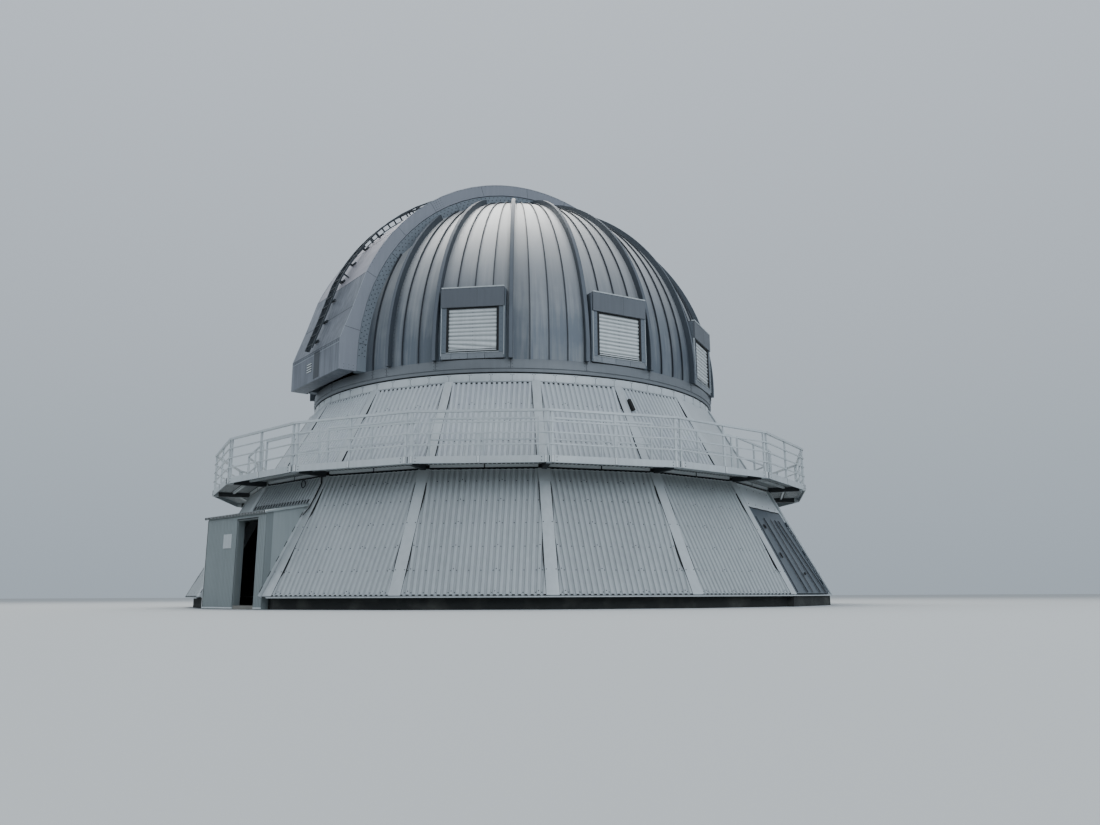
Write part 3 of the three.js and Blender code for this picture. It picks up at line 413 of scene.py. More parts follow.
def shadow_seals(wall, facet, bulges):
    """Black rubber, 33 mm high, under both side edges of a facet's sheets: painted shadow lines beside
    the flashings. `bulges` says at which heights it bulges out beside the flashings, and by about how much."""
    z, width = np.array(bulges).T
    edge = corner_at(wall, z, 0.036) - np.interp(z, wall["z"], wall["strip"])
    seals = []
    for side in (-1, 1):
        shown = 0.004 + width * chance.uniform(0.4, 1.0, len(z))
        right = side * np.stack([edge - shown, edge - shown, edge + 0.004, edge + 0.004], -1)
        points = on_wall(wall, facet, right, z[:, None], np.array([0.002, 0.033, 0.033, 0.002]))
        seals.append(capped(points[:, ::-1] if side < 0 else points))
    return seals


def rib_ends(facet, z, height):
    """Dark blocks at the lower wall's ribs, as wide as a rib's top: painted shade in the open ends at a
    sheet's edge.
    """
    right = LAP_OFFSET + RIB_PITCH * np.arange(-14, 22)
    right = right[np.abs(right) < wall_face(LOWER_WALL, z) * TAN_HALF - LOWER_WALL["cover"] - 0.03]
    across, _, up = facet_directions(LOWER_WALL, facet)
    centre = on_wall(LOWER_WALL, facet, right, z, SHEET_BASE + RIB_DEPTH)
    return boxes(centre, across, up, [0.46 * RIB_PITCH, 0.004, height])


def round_the_walls(profile, facets):
    """A closed profile of (out, z) points, upwards on its outer side, swept along the facets with
    mitred corners. All eighteen facets make a closed ring; fewer make a run with closed ends."""
    out, z = np.array(profile)[::-1].T
    whole = len(facets) == SIDES
    corner = np.array([*facets] if whole else [*facets, facets[-1] + 1])
    points = placed((facet_azimuth(corner) - 180 / SIDES)[:, None], 0.0, out / COS_HALF, z)
    return grid(points, loop_rows=True, loop_columns=True) if whole else capped(points)


def band(out0, out1, z0, z1, facets=range(SIDES)):
    """A flat bar with a rectangular section that runs round the walls."""
    return round_the_walls([(out0, z0), (out1, z0), (out1, z1), (out0, z1)], facets)


dress(trim_and_highlight_paint, *[f"lower_wall_{name}" for name in ("front", "right", "back", "left", "over_porch")])
PORCH_SIDE = 1.345
PORCH_ROOF_MEETS = 2.345
foot, head = LOWER_SHEETS
plain_facets = [f for f in range(SIDES) if f not in (PORCH_FACET, HATCH_FACET)]
lower_sheets = [ribbed_sheet(LOWER_WALL, f, foot, head) for f in plain_facets]
lower_sheets += [
    ribbed_sheet(LOWER_WALL, PORCH_FACET, PORCH_ROOF_MEETS, head),
    ribbed_sheet(LOWER_WALL, PORCH_FACET, foot, PORCH_ROOF_MEETS, lambda right: right > PORCH_SIDE),
    ribbed_sheet(LOWER_WALL, PORCH_FACET, foot, PORCH_ROOF_MEETS, lambda right: right < -PORCH_SIDE),
]
piece("lower_wall_sheets", lower_sheets, wall_paint, "building", SHEET_THICKNESS)
lower_screws = [screw_rows(LOWER_WALL, f, LOWER_SCREW_ROWS) for f in plain_facets]
lower_screws.append(screw_rows(LOWER_WALL, PORCH_FACET, LOWER_SCREW_ROWS[-1:]))
FLASHING_PROUD = 0.038
z = np.repeat(LOWER_SCREW_ROWS[1:4:2], 2)
flashing_edge = np.interp(z, LOWER_WALL["z"], LOWER_WALL["strip"]) - 0.03
right = (corner_at(LOWER_WALL, z, FLASHING_PROUD) - flashing_edge) * [-1, 1, -1, 1]
for facet in range(SIDES):
    strip_screws = on_wall(LOWER_WALL, facet, right, z, FLASHING_PROUD)
    lower_screws.append(screws(strip_screws, facet_directions(LOWER_WALL, facet)[1]))
piece("lower_wall_screws", lower_screws, screw_steel, "building")
# Each corner's strip, and a wider cover plate at its head, under the walkway's bracket.
lower_flashings = [
    corner_flashing(LOWER_WALL, f, z, half, proud)
    for z, half, proud in (
        ((0.262, head), LOWER_WALL["strip"], FLASHING_PROUD),
        ((2.67, 2.978), (0.135, 0.135), 0.044),
    )
    for f in range(SIDES)
]
piece("lower_corner_flashings", lower_flashings, trim_and_highlight_paint, "building", 0.002)
foot_out = float(wall_face(LOWER_WALL, 0.262))
head_out = float(wall_face(LOWER_WALL, head))
drip_profile = [
    (foot_out - 0.04, 0.258),
    (foot_out + 0.033, 0.258),
    (foot_out + 0.033, 0.236),
    (foot_out + 0.036, 0.236),
    (foot_out + 0.036, 0.262),
    (foot_out - 0.04, 0.262),
]
trims = [
    round_the_walls(drip_profile, list(range(PORCH_FACET - SIDES + 1, PORCH_FACET))),
    band(head_out - 0.01, head_out + 0.042, 2.9665, 2.9745),
]
piece("lower_wall_trims", trims, trim_and_highlight_paint, "building")
LOWER_BULGES = [
    (0.27, 0.0),
    (0.50, 0.006),
    (0.70, 0.012),
    (0.95, 0.026),
    (1.25, 0.022),
    (1.40, 0.006),
    (1.75, 0.0),
    (1.90, 0.010),
    (2.15, 0.020),
    (2.45, 0.024),
    (2.60, 0.016),
    (2.66, 0.002),
]
# Painted shade: black in the ribs' open ends and beside the flashings.
lower_shade = [rib_ends(f, 0.2745, 0.025) for f in plain_facets]
lower_shade.append(rib_ends(PORCH_FACET, 2.390, 0.095))
for facet in plain_facets:
    if facet != HATCH_FACET + 1:
        lower_shade += shadow_seals(LOWER_WALL, facet, LOWER_BULGES)
piece("lower_wall_shade", lower_shade, black_and_painted_shade, "building")


# Service hatch
# Two tall leaves of dark painted sheet on welded frames, lying in the slope of their facet under a
# smooth header plate. Each leaf hangs on three hinges at its outer side and has folded stiffening
# ribs running up the slope.

# Dark blue-grey paint gone chalky: half matt, a little uneven.
hatch_paint = painted_sheet("dark_painted_hatch_sheet", "#4a545c", "#343b41", 0.42, 0.1, 0.1)
# The plate over the leaves: smooth painted sheet, paler than the ribbed sheets beside it. The same
# paint makes the painted highlight along the corner strip's edge beside the hatch.
plate_and_highlight_paint = painted_sheet("smooth_header_sheet_and_highlight", "#cdd3d5", "#a9afb2", 0.42, 0.1)
dress(plate_and_highlight_paint, "lower_wall_over_hatch")
dress(hatch_paint, "hatch_leaf_left", "hatch_leaf_right")


def wall_bar(wall, facet, right, z, proud, width, depth):
    """A bar laid up a facet through the places (right, z), from `proud` to `proud + depth`."""
    across, out, _ = facet_directions(wall, facet)
    return bar(on_wall(wall, facet, np.array(right), np.array(z), proud), across, out, width, depth)


def hatch_bar(right, z, proud, width, depth):
    """A bar up the hatch's facet."""
    return wall_bar(LOWER_WALL, HATCH_FACET, right, z, proud, width, depth)


def on_hatch(right, z, proud):
    """Points over the hatch's facet."""
    return on_wall(LOWER_WALL, HATCH_FACET, right, z, proud)


def blocks(azimuth, limits, tone=0.5):
    """Upright blocks. Each has one row of limits: right from and to, out from and to, and z from
    and to."""
    limits = np.array(limits, float)
    low, high = limits[:, 0::2], limits[:, 1::2]
    centre = placed(azimuth, *((low + high) / 2).T)
    return boxes(centre, placed(azimuth, 1.0, 0.0, 0.0), [0, 0, 1], np.abs(high - low), tone)


def hoop(centre, normal, radius, bar_radius):
    """A round bar bent into a circle about a centre: (R + r cos b)(p cos a + q sin a) - n r sin b,
    for a and b all the way round and p, q across the normal n."""
    normal = unit(np.array(normal, float))
    p = unit(np.cross([0.0, 0.0, 1.0], normal))
    a = np.radians(np.arange(0, 360, 15))[:, None, None]
    b = np.radians(np.arange(0, 360, 45))[None, :, None]
    spoke = p * np.cos(a) + np.cross(normal, p) * np.sin(a)
    points = centre + (radius + bar_radius * np.cos(b)) * spoke - bar_radius * np.sin(b) * normal
    return grid(points, loop_rows=True, loop_columns=True)


_, hatch_out, hatch_up = facet_directions(LOWER_WALL, HATCH_FACET)
LEAF_FACE = 0.019
LEAF_ENDS = np.array([0.31, 2.12])
leaf_side = (wall_face(LOWER_WALL, LEAF_ENDS) + 0.02) * TAN_HALF - 0.203
# Grooves down each leaf: how far across they lie at its foot and at its head.
hatch_grooves = {
    "left": [(-1.256, -1.104), (-0.45, -0.52)],
    "right": [(0.60, 0.30), (1.10, 0.58)],
}
for side, name in ((-1, "left"), (1, "right")):
    grooves = [np.array(ends) for ends in hatch_grooves[name]]
    folds = [hatch_bar(side * leaf_side, LEAF_ENDS, LEAF_FACE, 0.05, 0.015)]
    folds += [hatch_bar(across + 0.032, LEAF_ENDS, LEAF_FACE, 0.03, 0.018) for across in grooves]
    # Black lines in the grooves: painted shade.
    lines = [hatch_bar(across, LEAF_ENDS, LEAF_FACE, 0.030, 0.003) for across in grooves]
    lines.append(hatch_bar([side * 0.012] * 2, LEAF_ENDS, LEAF_FACE, 0.022, 0.003))
    piece(f"hatch_folds_{name}", folds, hatch_paint, f"hatch_{name}")
    piece(f"hatch_grooves_{name}", lines, black_and_painted_shade, f"hatch_{name}")
ring_pull = hoop(on_hatch(-0.86, 1.88, 0.034), hatch_out, 0.050, 0.014)
catch = hatch_bar([-0.865, -0.865], [1.12, 1.24], LEAF_FACE, 0.06, 0.024)
piece("hatch_pull_left", [ring_pull, catch], black_and_painted_shade, "hatch_left")
knob = screws(on_hatch(0.21, 0.76, LEAF_FACE), hatch_out, 0.04, 0.03, 12)
piece("hatch_knob_right", [knob], black_and_painted_shade, "hatch_right")
# A wavy black gap of painted shade between the leaves' heads and the smooth plate over them.
right = np.linspace(-1.16, 1.16, 30)
head_shade_gap = bar(on_hatch(right, 2.364 + 0.004 * np.sin(9 * right), 0.001), hatch_up, hatch_out, 0.030, 0.005)
piece("hatch_head_shade_gap", [head_shade_gap], black_and_painted_shade, "building")
right, z = np.meshgrid([-1.0, -0.5, 0.0, 0.5, 1.0], [2.46, 2.86])
plate_screws = screws(on_hatch(right.ravel(), z.ravel(), 0.0), hatch_out)
piece("hatch_plate_screws", [plate_screws], screw_steel, "building")
# A painted highlight: the sky's light along the folded edge of the corner strip right of the hatch.
z = np.array([0.27, 2.95])
corner_highlight = hatch_bar(corner_at(LOWER_WALL, z, 0.04) - 0.014, z, 0.036, 0.026, 0.012)
piece("hatch_corner_highlight", [corner_highlight], plate_and_highlight_paint, "building")
# The concrete sill under the leaves, in the ring's shade-darkened concrete, runs out further than the ring
# beside it.
hatch_sill = blocks(float(facet_azimuth(HATCH_FACET)), [(-1.52, 1.52, 8.70, 8.885, 0.0, 0.255)])
piece("hatch_sill", [hatch_sill], shade_dark_concrete, "building")


# Porch
# A small entrance lobby that pokes out of the base: steel-framed walls clad in fine corrugated
# sheet, a lean-to roof of the same sheet, and a plain steel door.

# Coil-coated sheet gone grey-green in the damp: dull, darker than the walls.
porch_paint = painted_sheet("grey_green_porch_sheet", "#7a8384", "#636b6b", 0.48, 0.1, 0.12)
# The same sheet, painted paler on the roof and the right cheek for the light that falls on them.
lit_porch_paint = painted_sheet("lit_porch_sheet", "#98a1a2", "#7f8788", 0.48, 0.1, 0.12)
# Smooth door leaf in a darker blue-grey gloss paint, a little worn.
door_paint = painted_sheet("painted_steel_door", "#59626a", "#444c52", 0.4, 0.1)
# White-coated folded trim at the porch's corner and foot. The same paint makes the painted highlight down
# the cable pipe.
white_trim_and_highlight = painted_sheet("white_coated_trim_and_highlight", "#c6cbcc", "#a3a8a9", 0.4)
PORCH_AZ = float(facet_azimuth(PORCH_FACET))
PORCH_FRONT = 8.902
# The edges of the front's sheets beside the doorway, and its head.
DOOR_LEFT, DOOR_RIGHT, WALL_HEAD = 0.08, 1.02, 2.03
ROOF_HALF = 1.398
ROOF_SLOPE = 0.21
EAVE_OUT, EAVE_Z = 8.972, 2.102 - 0.072 * ROOF_SLOPE
FINE_PITCH = 0.068
FINE_DEPTH = 0.013


def fine_sheet(right0, right1, path, rise=(1, 0)):
    """Fine corrugated sheet: a sine wave across, carried along a path of (out, z) points. It lifts
    along `rise`, the sheet's (out, z) normal."""
    right = np.linspace(right0, right1, max(int((right1 - right0) / FINE_PITCH * 8), 2))
    share = 0.5 + 0.5 * np.cos(2 * np.pi * right / FINE_PITCH)
    wave = FINE_DEPTH * share
    path = np.array(path)
    points = placed(PORCH_AZ, right, path[:, :1] + rise[0] * wave, path[:, 1:] + rise[1] * wave)
    # The tone follows the wave: crests lighter and hollows darker, as painted shade.
    return grid(points, tone=share)


dress(porch_paint, "porch_wall_left", "porch_wall_right", "porch_wall_over_door", "porch_cheek_left")
dress(lit_porch_paint, "porch_cheek_right", "porch_roof")
dress(door_paint, "porch_door_leaf")
porch_skins = [
    fine_sheet(right0, right1, [(PORCH_FRONT, z), (PORCH_FRONT, WALL_HEAD)])
    for right0, right1, z in (
        (-1.335, DOOR_LEFT, 0.02),
        (DOOR_RIGHT, 1.335, 0.02),
        (DOOR_LEFT, DOOR_RIGHT, 1.98),
    )
]
piece("porch_wall_sheets", porch_skins, porch_paint, "building", 0.001)
roof_line = [(EAVE_OUT, EAVE_Z), (7.83, 2.102 + 1.07 * ROOF_SLOPE)]
roof_skin = fine_sheet(-ROOF_HALF, ROOF_HALF, roof_line, (0.2055, 0.9787))
piece("porch_roof_sheet", [roof_skin], lit_porch_paint, "building", 0.001)
# The roof sheet's open waves end at the eave as a row of holes painted dark as shade, under a white drip
# edge.
across, _, up_slope = facet_directions(LOWER_WALL, PORCH_FACET)
crests = placed(PORCH_AZ, FINE_PITCH * np.arange(-20, 21), EAVE_OUT + 0.002, EAVE_Z - 0.008)
# Black in the door's head gap and the front's corner joint: painted shade.
door_gap = (DOOR_LEFT, DOOR_RIGHT, PORCH_FRONT, PORCH_FRONT + 0.014, 1.965, 1.985)
porch_shade_gaps = [
    boxes(crests, across, [0, 0, 1], [0.042, 0.006, 0.050]),
    blocks(PORCH_AZ, [door_gap]),
]
# A flashing lies where a cheek meets the sloping wall, with a gap of painted shade over every third rib.
cheek_strips = []
z = np.arange(0.42, 2.10, 3 * RIB_PITCH * np.cos(wall_lean(LOWER_WALL)))
for side in (-1, 1):
    cheek = placed(PORCH_AZ, side * 1.3425, wall_face(LOWER_WALL, z) + 0.105, z)
    porch_shade_gaps.append(boxes(cheek, across, up_slope, [0.004, 0.022, 0.14]))
    middle = placed(PORCH_AZ, side * 1.342, wall_face(LOWER_WALL, 1.22) + 0.047, 1.22)
    cheek_strips.append(boxes(middle, across, up_slope, [0.006, 0.094, 2.16]))
piece("porch_cheek_strips", cheek_strips, trim_and_highlight_paint, "building")
corner_gap = (-1.315, -1.307, PORCH_FRONT, PORCH_FRONT + 0.016, 0.02, WALL_HEAD)
porch_shade_gaps.append(blocks(PORCH_AZ, [corner_gap]))
piece("porch_shade_gaps", porch_shade_gaps, black_and_painted_shade, "building")
white_parts = [
    (-ROOF_HALF, ROOF_HALF, EAVE_OUT - 0.01, EAVE_OUT + 0.001, EAVE_Z - 0.026, EAVE_Z + 0.006),
    (-1.337, DOOR_LEFT, PORCH_FRONT, PORCH_FRONT + 0.017, 0.015, 0.045),
    (DOOR_RIGHT, 1.337, PORCH_FRONT, PORCH_FRONT + 0.017, 0.015, 0.045),
    (-1.338, -1.316, PORCH_FRONT, PORCH_FRONT + 0.018, 0.02, WALL_HEAD),
]
piece("porch_trims", [blocks(PORCH_AZ, white_parts)], white_trim_and_highlight, "building")
sign = blocks(PORCH_AZ, [(-0.50, -0.13, PORCH_FRONT + 0.012, PORCH_FRONT + 0.018, 1.35, 1.67)])
piece("porch_sign_plate", [sign], trim_and_highlight_paint, "building")


# Upper wall
# The base's steeper upper storey, clad like the lower one. Its sheets stop short of the dome's
# curb, where a thin angle closes the gap.
UPPER_WALL = {"z": (2.984, 5.330), "corner": (7.420, 6.080), "cover": 0.082, "strip": (0.108, 0.108)}
# The same coil-coated sheet, painted lighter than below for the light that falls on the upper wall's lean.
lit_upper_paint = painted_sheet("lit_upper_wall_sheet", "#adb3b5", "#9094a1", 0.5, 0.1, 0.11)
dress(trim_and_highlight_paint, "upper_wall_front", "upper_wall_right", "upper_wall_left")
upper_facets = [f for f in range(SIDES) if f != HATCH_FACET]
beyond_hatch = list(range(HATCH_FACET + 1, HATCH_FACET + SIDES))
upper_sheets = [ribbed_sheet(UPPER_WALL, f, 3.10, 5.300) for f in upper_facets]
piece("upper_wall_sheets", upper_sheets, lit_upper_paint, "building", SHEET_THICKNESS)
upper_screws = [screw_rows(UPPER_WALL, f, (3.20, 3.715, 4.24, 4.702)) for f in upper_facets]
piece("upper_wall_screws", upper_screws, screw_steel, "building")
strips = [corner_flashing(UPPER_WALL, f, (3.04, 5.325), (0.108, 0.108), 0.037) for f in range(SIDES)]
piece("upper_corner_flashings", strips, trim_and_highlight_paint, "building", 0.002)
# Painted shadow under the sheets' heads: a black closure, hidden by the ribs and dark in the valleys
# between them, and black rubber beside the flashings for the shadow lines there.
low, high = 5.272, 5.333
out_low, out_high = wall_face(UPPER_WALL, low), wall_face(UPPER_WALL, high)
profile = [(out_low, low), (out_low + 0.016, low), (out_high + 0.016, high), (out_high, high)]
upper_shade = [round_the_walls(profile, beyond_hatch)]
UPPER_BULGES = [
    (3.10, 0.018),
    (3.30, 0.022),
    (3.55, 0.014),
    (3.75, 0.003),
    (4.20, 0.003),
    (4.40, 0.010),
    (4.70, 0.020),
    (5.00, 0.016),
    (5.20, 0.004),
]
for facet in upper_facets:
    upper_shade += shadow_seals(UPPER_WALL, facet, UPPER_BULGES)
piece("upper_wall_shade", upper_shade, black_and_painted_shade, "building")
head_edge = float(wall_face(UPPER_WALL, 5.312))
head_trim = [band(head_edge + 0.018, head_edge + 0.036, 5.309, 5.316, beyond_hatch)]
piece("upper_wall_head_angle", head_trim, trim_and_highlight_paint, "building")
# A shaded wall lamp, a tall black box with one bright edge.
LAMP_FACET = 2
LAMP_ENDS = (4.64, 4.93)
lamp = wall_bar(UPPER_WALL, LAMP_FACET, [-0.955] * 2, LAMP_ENDS, 0.03, 0.075, 0.08)
piece("wall_lamp", [lamp], black_and_painted_shade, "building")
lamp_edge = wall_bar(UPPER_WALL, LAMP_FACET, [-0.910] * 2, LAMP_ENDS, 0.03, 0.014, 0.085)
piece("wall_lamp_edge", [lamp_edge], white_trim_and_highlight, "building")


# Walkway
# A gallery of galvanised and painted steel round the base: grating on brackets at the corners, a
# folded toe board, and a welded rail of square tube.

# Galvanised steel under a light grey paint: brighter than the walls, faintly metallic.
rail_paint = painted_sheet("painted_galvanised_rail", "#b4babc", "#93999b", 0.45, 0.2)
# Sleeves on the brackets, painted near black as the shade under the walkway.
bracket_shade_paint = painted_sheet("bracket_painted_shade", "#23282b", "#15181a", 0.6)
for name in ("front", "right", "left"):
    dress(rail_paint, f"walkway_deck_{name}", f"walkway_railing_{name}")
RAIL_FACE = 8.583 * COS_HALF
POST_END = RAIL_FACE * TAN_HALF - 0.075
DECK_TOP = 3.0965
TOOTH_PITCH = 0.1
post_places = (-POST_END, 0.0, POST_END)
bracket_shades, shade_slots, shoes, deck_bolts, teeth = [], [], [], [], []
for facet in range(SIDES):
    azimuth = float(facet_azimuth(facet))
    corner_azimuth = azimuth - 180 / SIDES
    across = placed(azimuth, 1.0, 0.0, 0.0)
    # A sleeve of painted shade on each corner's bracket; open joints in the ledger and the toe board,
    # painted black as shade.
    bracket_shades.append(blocks(corner_azimuth, [(-0.052, 0.052, 7.610, 8.42, 2.972, 3.090)]))
    shade_slots.append(blocks(azimuth, [(0.005, 0.035, 7.497, 7.503, 3.02, 3.10)]))
    shade_slots.append(blocks(corner_azimuth, [(-0.010, 0.010, 8.55, 8.5865, 2.986, 3.122)]))
    # A bright shoe at each post's foot, in a dark outline, and two bolts between the shoes.
    out = RAIL_FACE - 0.002
    wide = [(p - 0.029, p + 0.029, out, out + 0.006, 2.984, 3.131) for p in post_places]
    narrow = [(p - 0.024, p + 0.024, out, out + 0.010, 2.986, 3.129) for p in post_places]
    shade_slots.append(blocks(azimuth, wide))
    shoes.append(blocks(azimuth, narrow))
    right, z = np.meshgrid([-POST_END + 0.09, POST_END - 0.09], [3.02, 3.09])
    foot = placed(azimuth, right.ravel(), RAIL_FACE, z.ravel())
    deck_bolts.append(screws(foot, placed(azimuth, 0.0, 1.0, 0.0), 0.012, 0.008))
    # The grating's teeth seen from below, in two lanes.
    for out0, out1 in ((7.55, 7.90), (7.99, 8.40)):
        count = np.floor((out0 * TAN_HALF - 0.07) / TOOTH_PITCH)
        centre = placed(azimuth, np.arange(-count, count + 1) * TOOTH_PITCH, (out0 + out1) / 2, 3.090)
        teeth.append(boxes(centre, across, [0, 0, 1], [0.030, out1 - out0, 0.005]))
# Painted shade: black over the grating, behind the ledger and in the toe board's joints.
shade_slots += [
    band(7.52, 7.91, DECK_TOP - 0.004, DECK_TOP),
    band(7.96, 8.40, DECK_TOP - 0.004, DECK_TOP),
    band(7.424, 7.4285, 2.9845, DECK_TOP),
]
# A cable pipe from under the walkway down the corner beside the porch, and a cable's coil.
PIPE_FACET = 17
PIPE_DEPTH = 0.028
right, z = np.array([(-1.387, 2.97), (-1.311, 2.789), (-1.337, 2.468)]).T
pipe_head = on_wall(LOWER_WALL, PIPE_FACET, right, z, 0.05)
pipe_foot = placed(PORCH_AZ, *np.array([(1.43, 7.93, 2.215), (1.40, 8.06, 2.05)]).T)
pipe_path = np.concatenate([pipe_head, pipe_foot])
pipe_across = placed(FIRST_FACET_AZ - 30.0, 1.0, 0.0, 0.0)
pipe_out = placed(FIRST_FACET_AZ - 30.0, 0.0, 1.0, 0.0)
pipe = bar(pipe_path, pipe_across, pipe_out, 0.034, PIPE_DEPTH)
coil = hoop(placed(PORCH_AZ, 0.6, 7.60, 2.86), placed(PORCH_AZ, 0.0, 1.0, 0.0), 0.085, 0.012)
# A painted highlight: the light that runs down the wet pipe's crown, as a pale stripe.
pipe_highlight = bar(pipe_path + PIPE_DEPTH * pipe_out, pipe_across, pipe_out, 0.010, 0.003)
for name, parts, finish in (
    ("walkway_bracket_shade", bracket_shades, bracket_shade_paint),
    ("walkway_shoes", shoes, white_trim_and_highlight),
    ("walkway_bolts", deck_bolts, screw_steel),
    ("walkway_grating", teeth, rail_paint),
    ("walkway_shade_gaps", shade_slots, black_and_painted_shade),
    ("cable_pipe", [pipe, coil], black_and_painted_shade),
    ("cable_pipe_highlight", [pipe_highlight], white_trim_and_highlight),
):
    piece(name, parts, finish, "building")


# Dome curb and skirt
# The curb is a rolled ring of painted sheet over the rail that the dome turns on. Over it hangs
# the dome's own skirt, two rolled bands of bare sheet with a shadow gap between them.

# Painted steel ring: the walls' light grey, lit from above.
curb_paint = painted_sheet("painted_curb_sheet", "#b5bbbd", "#8f9597", 0.42, 0.1)
# Weathered zinc-grey sheet: bluish, half matt, with soft clouding and pale runs.
skirt_sheet = painted_sheet("weathered_skirt_sheet", "#696e72", "#575b5f", 0.5, 0.3, 0.05)
SLIT_AZ = -54.9
DOME_CENTRE = 6.207
DOME_RADIUS = 6.0
RING_SEGMENTS = 180


def ring(profile):
    """A closed profile of (out, z) points turned right round the axis. The profile runs upwards on
    its outer side."""
    turn = np.arange(RING_SEGMENTS)[:, None] * 360 / RING_SEGMENTS
    out, z = np.array(profile)[::-1].T
    return grid(placed(turn, 0.0, out, z), loop_rows=True, loop_columns=True)


def ring_joints(azimuth, out, z, size):
    """Upright joints in a ring: thin blocks that face outwards."""
    return boxes(placed(azimuth, 0.0, out, z), placed(azimuth, 1.0, 0.0, 0.0), [0, 0, 1], size)


def bolts_beside(azimuth, gap, out, z, radius):
    """Bolt heads in upright rows on both sides of the joints of a ring."""
    azimuth, z = np.meshgrid(np.concatenate([azimuth - gap, azimuth + gap]), z)
    foot = placed(azimuth.ravel(), 0.0, out, z.ravel())
    return screws(foot, foot * [1, 1, 0], radius, 0.006)


curb_profile = [
    (5.70, 5.332),
    (5.988, 5.332),
    (5.990, 5.350),
    (5.985, 5.520),
    (5.975, 5.545),
    (5.90, 5.545),
    (5.90, 5.565),
    (5.84, 5.565),
    (5.84, 5.545),
    (5.70, 5.545),
]
curb = piece("dome_curb_ring", [ring(curb_profile)], curb_paint, "building")
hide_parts("dome_curb_and_track")
curb_azimuth = np.arange(-0.5, 359.0, 5.0)
curb_joints = ring_joints(curb_azimuth, 5.9875, 5.435, [0.006, 0.006, 0.165])
piece("curb_joints", [curb_joints], black_and_painted_shade, "building")
curb_bolts = bolts_beside(curb_azimuth, 0.35, 5.987, [5.365, 5.515], 0.010)
piece("curb_bolts", [curb_bolts], screw_steel, "building")
skirt_profile = [
    (5.75, 5.578),
    (5.992, 5.578),
    (5.996, 5.583),
    (5.996, 5.650),
    (5.988, 5.655),
    (5.988, 5.668),
    (6.008, 5.672),
    (6.008, 5.893),
    (6.004, 5.899),
    (5.75, 5.899),
]
skirt = piece("dome_skirt_ring", [ring(skirt_profile)], skirt_sheet, "dome")
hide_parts("dome_skirt")
skirt_azimuth = SLIT_AZ + np.array([*np.arange(0, 360, 18.0), 22.5, -22.5])
shadow_gap = [(5.75, 5.554), (5.966, 5.554), (5.966, 5.5775), (5.75, 5.5775)]
skirt_joints = ring_joints(skirt_azimuth, 6.0075, 5.783, [0.009, 0.005, 0.215])
piece("skirt_gaps", [ring(shadow_gap), skirt_joints], black_and_painted_shade, "dome")
skirt_bolts = bolts_beside(skirt_azimuth, 0.4, 6.0078, [5.70, 5.78, 5.86], 0.009)
piece("skirt_bolts", [skirt_bolts], screw_steel, "dome")


# Dome shell
# Gores of bare standing-seam sheet bent over welded ribs. Each gore is flat from seam to seam; a
# folded seam stands between two of them and a wide riveted rib cap covers about every fourth joint.
SEAM_STEP = 4.5
FIRST_RIB_TURN = 23.4
RIB_TURNS = np.array([FIRST_RIB_TURN, *np.arange(36.0, 163.0, 18.0)])
SHELL_FOOT = 5.900
SLIT_SIDE = 1.5803
WINDOW_TURNS = np.array([45.0, 81.0, 117.0, 153.0])
WINDOW_HALF_TURN = 7.45
WINDOW_TOP = 7.745
# A seam, a rib and a rib's cap: its width, where its foot lies over the sheets, and its depth.
SEAM = (0.020, -0.004, 0.045)
RIB = (0.10, -0.01, 0.153)
RIB_CAP = (0.084, 0.142, 0.005)
DOME_MIDDLE = np.array([0.0, 0.0, DOME_CENTRE])


def on_dome(turn, latitude, proud=0.0, right=0.0):
    """Points over the dome's sheets: `turn` degrees from the slit, `latitude` radians above the
    centre, `proud` of the sphere, and `right` of the meridian."""
    radius = DOME_RADIUS + proud
    z = DOME_CENTRE + radius * np.sin(latitude)
    return placed(SLIT_AZ + turn, right, radius * np.cos(latitude), z)


def latitude_of(z):
    """The latitude at which the dome's sphere has a height: arcsin((z - centre) / radius)."""
    return np.arcsin((z - DOME_CENTRE) / DOME_RADIUS)


def latitude_at_slit(turn):
    """Where a meridian reaches the slit's side: cos(latitude) = side / (radius x sin(turn))."""
    return np.arccos(SLIT_SIDE / (DOME_RADIUS * np.sin(np.radians(turn))))


def foot_of(turn):
    """Where a meridian starts: at the shell's foot or over a window."""
    over_window = np.any(np.abs(turn - WINDOW_TURNS) < WINDOW_HALF_TURN)
    return latitude_of(WINDOW_TOP if over_window else SHELL_FOOT)


def gore(turn0, turn1, side, tone):
    """A flat strip of sheet between two meridians: rows of equal latitude steps from its foot to
    the slit's side, with the middle column on the chord of the two edges."""
    middle = (turn0 + turn1) / 2
    foot = foot_of(middle)
    turns = np.array([turn0, turn1])
    latitude = foot + np.linspace(0, 1, 33)[:, None] * (latitude_at_slit(turns) - foot)
    edges = on_dome(side * turns, latitude)
    points = np.stack([edges[:, 0], edges.mean(1), edges[:, 1]], 1)[:, ::side]
    across = np.broadcast_to(np.radians([turn0, middle, turn1]), (33, 3))
    up = np.stack([latitude[:, 0], latitude.mean(1), latitude[:, 1]], 1)
    return grid(points, tone=tone, uv=np.stack([across, up], -1) * DOME_RADIUS)


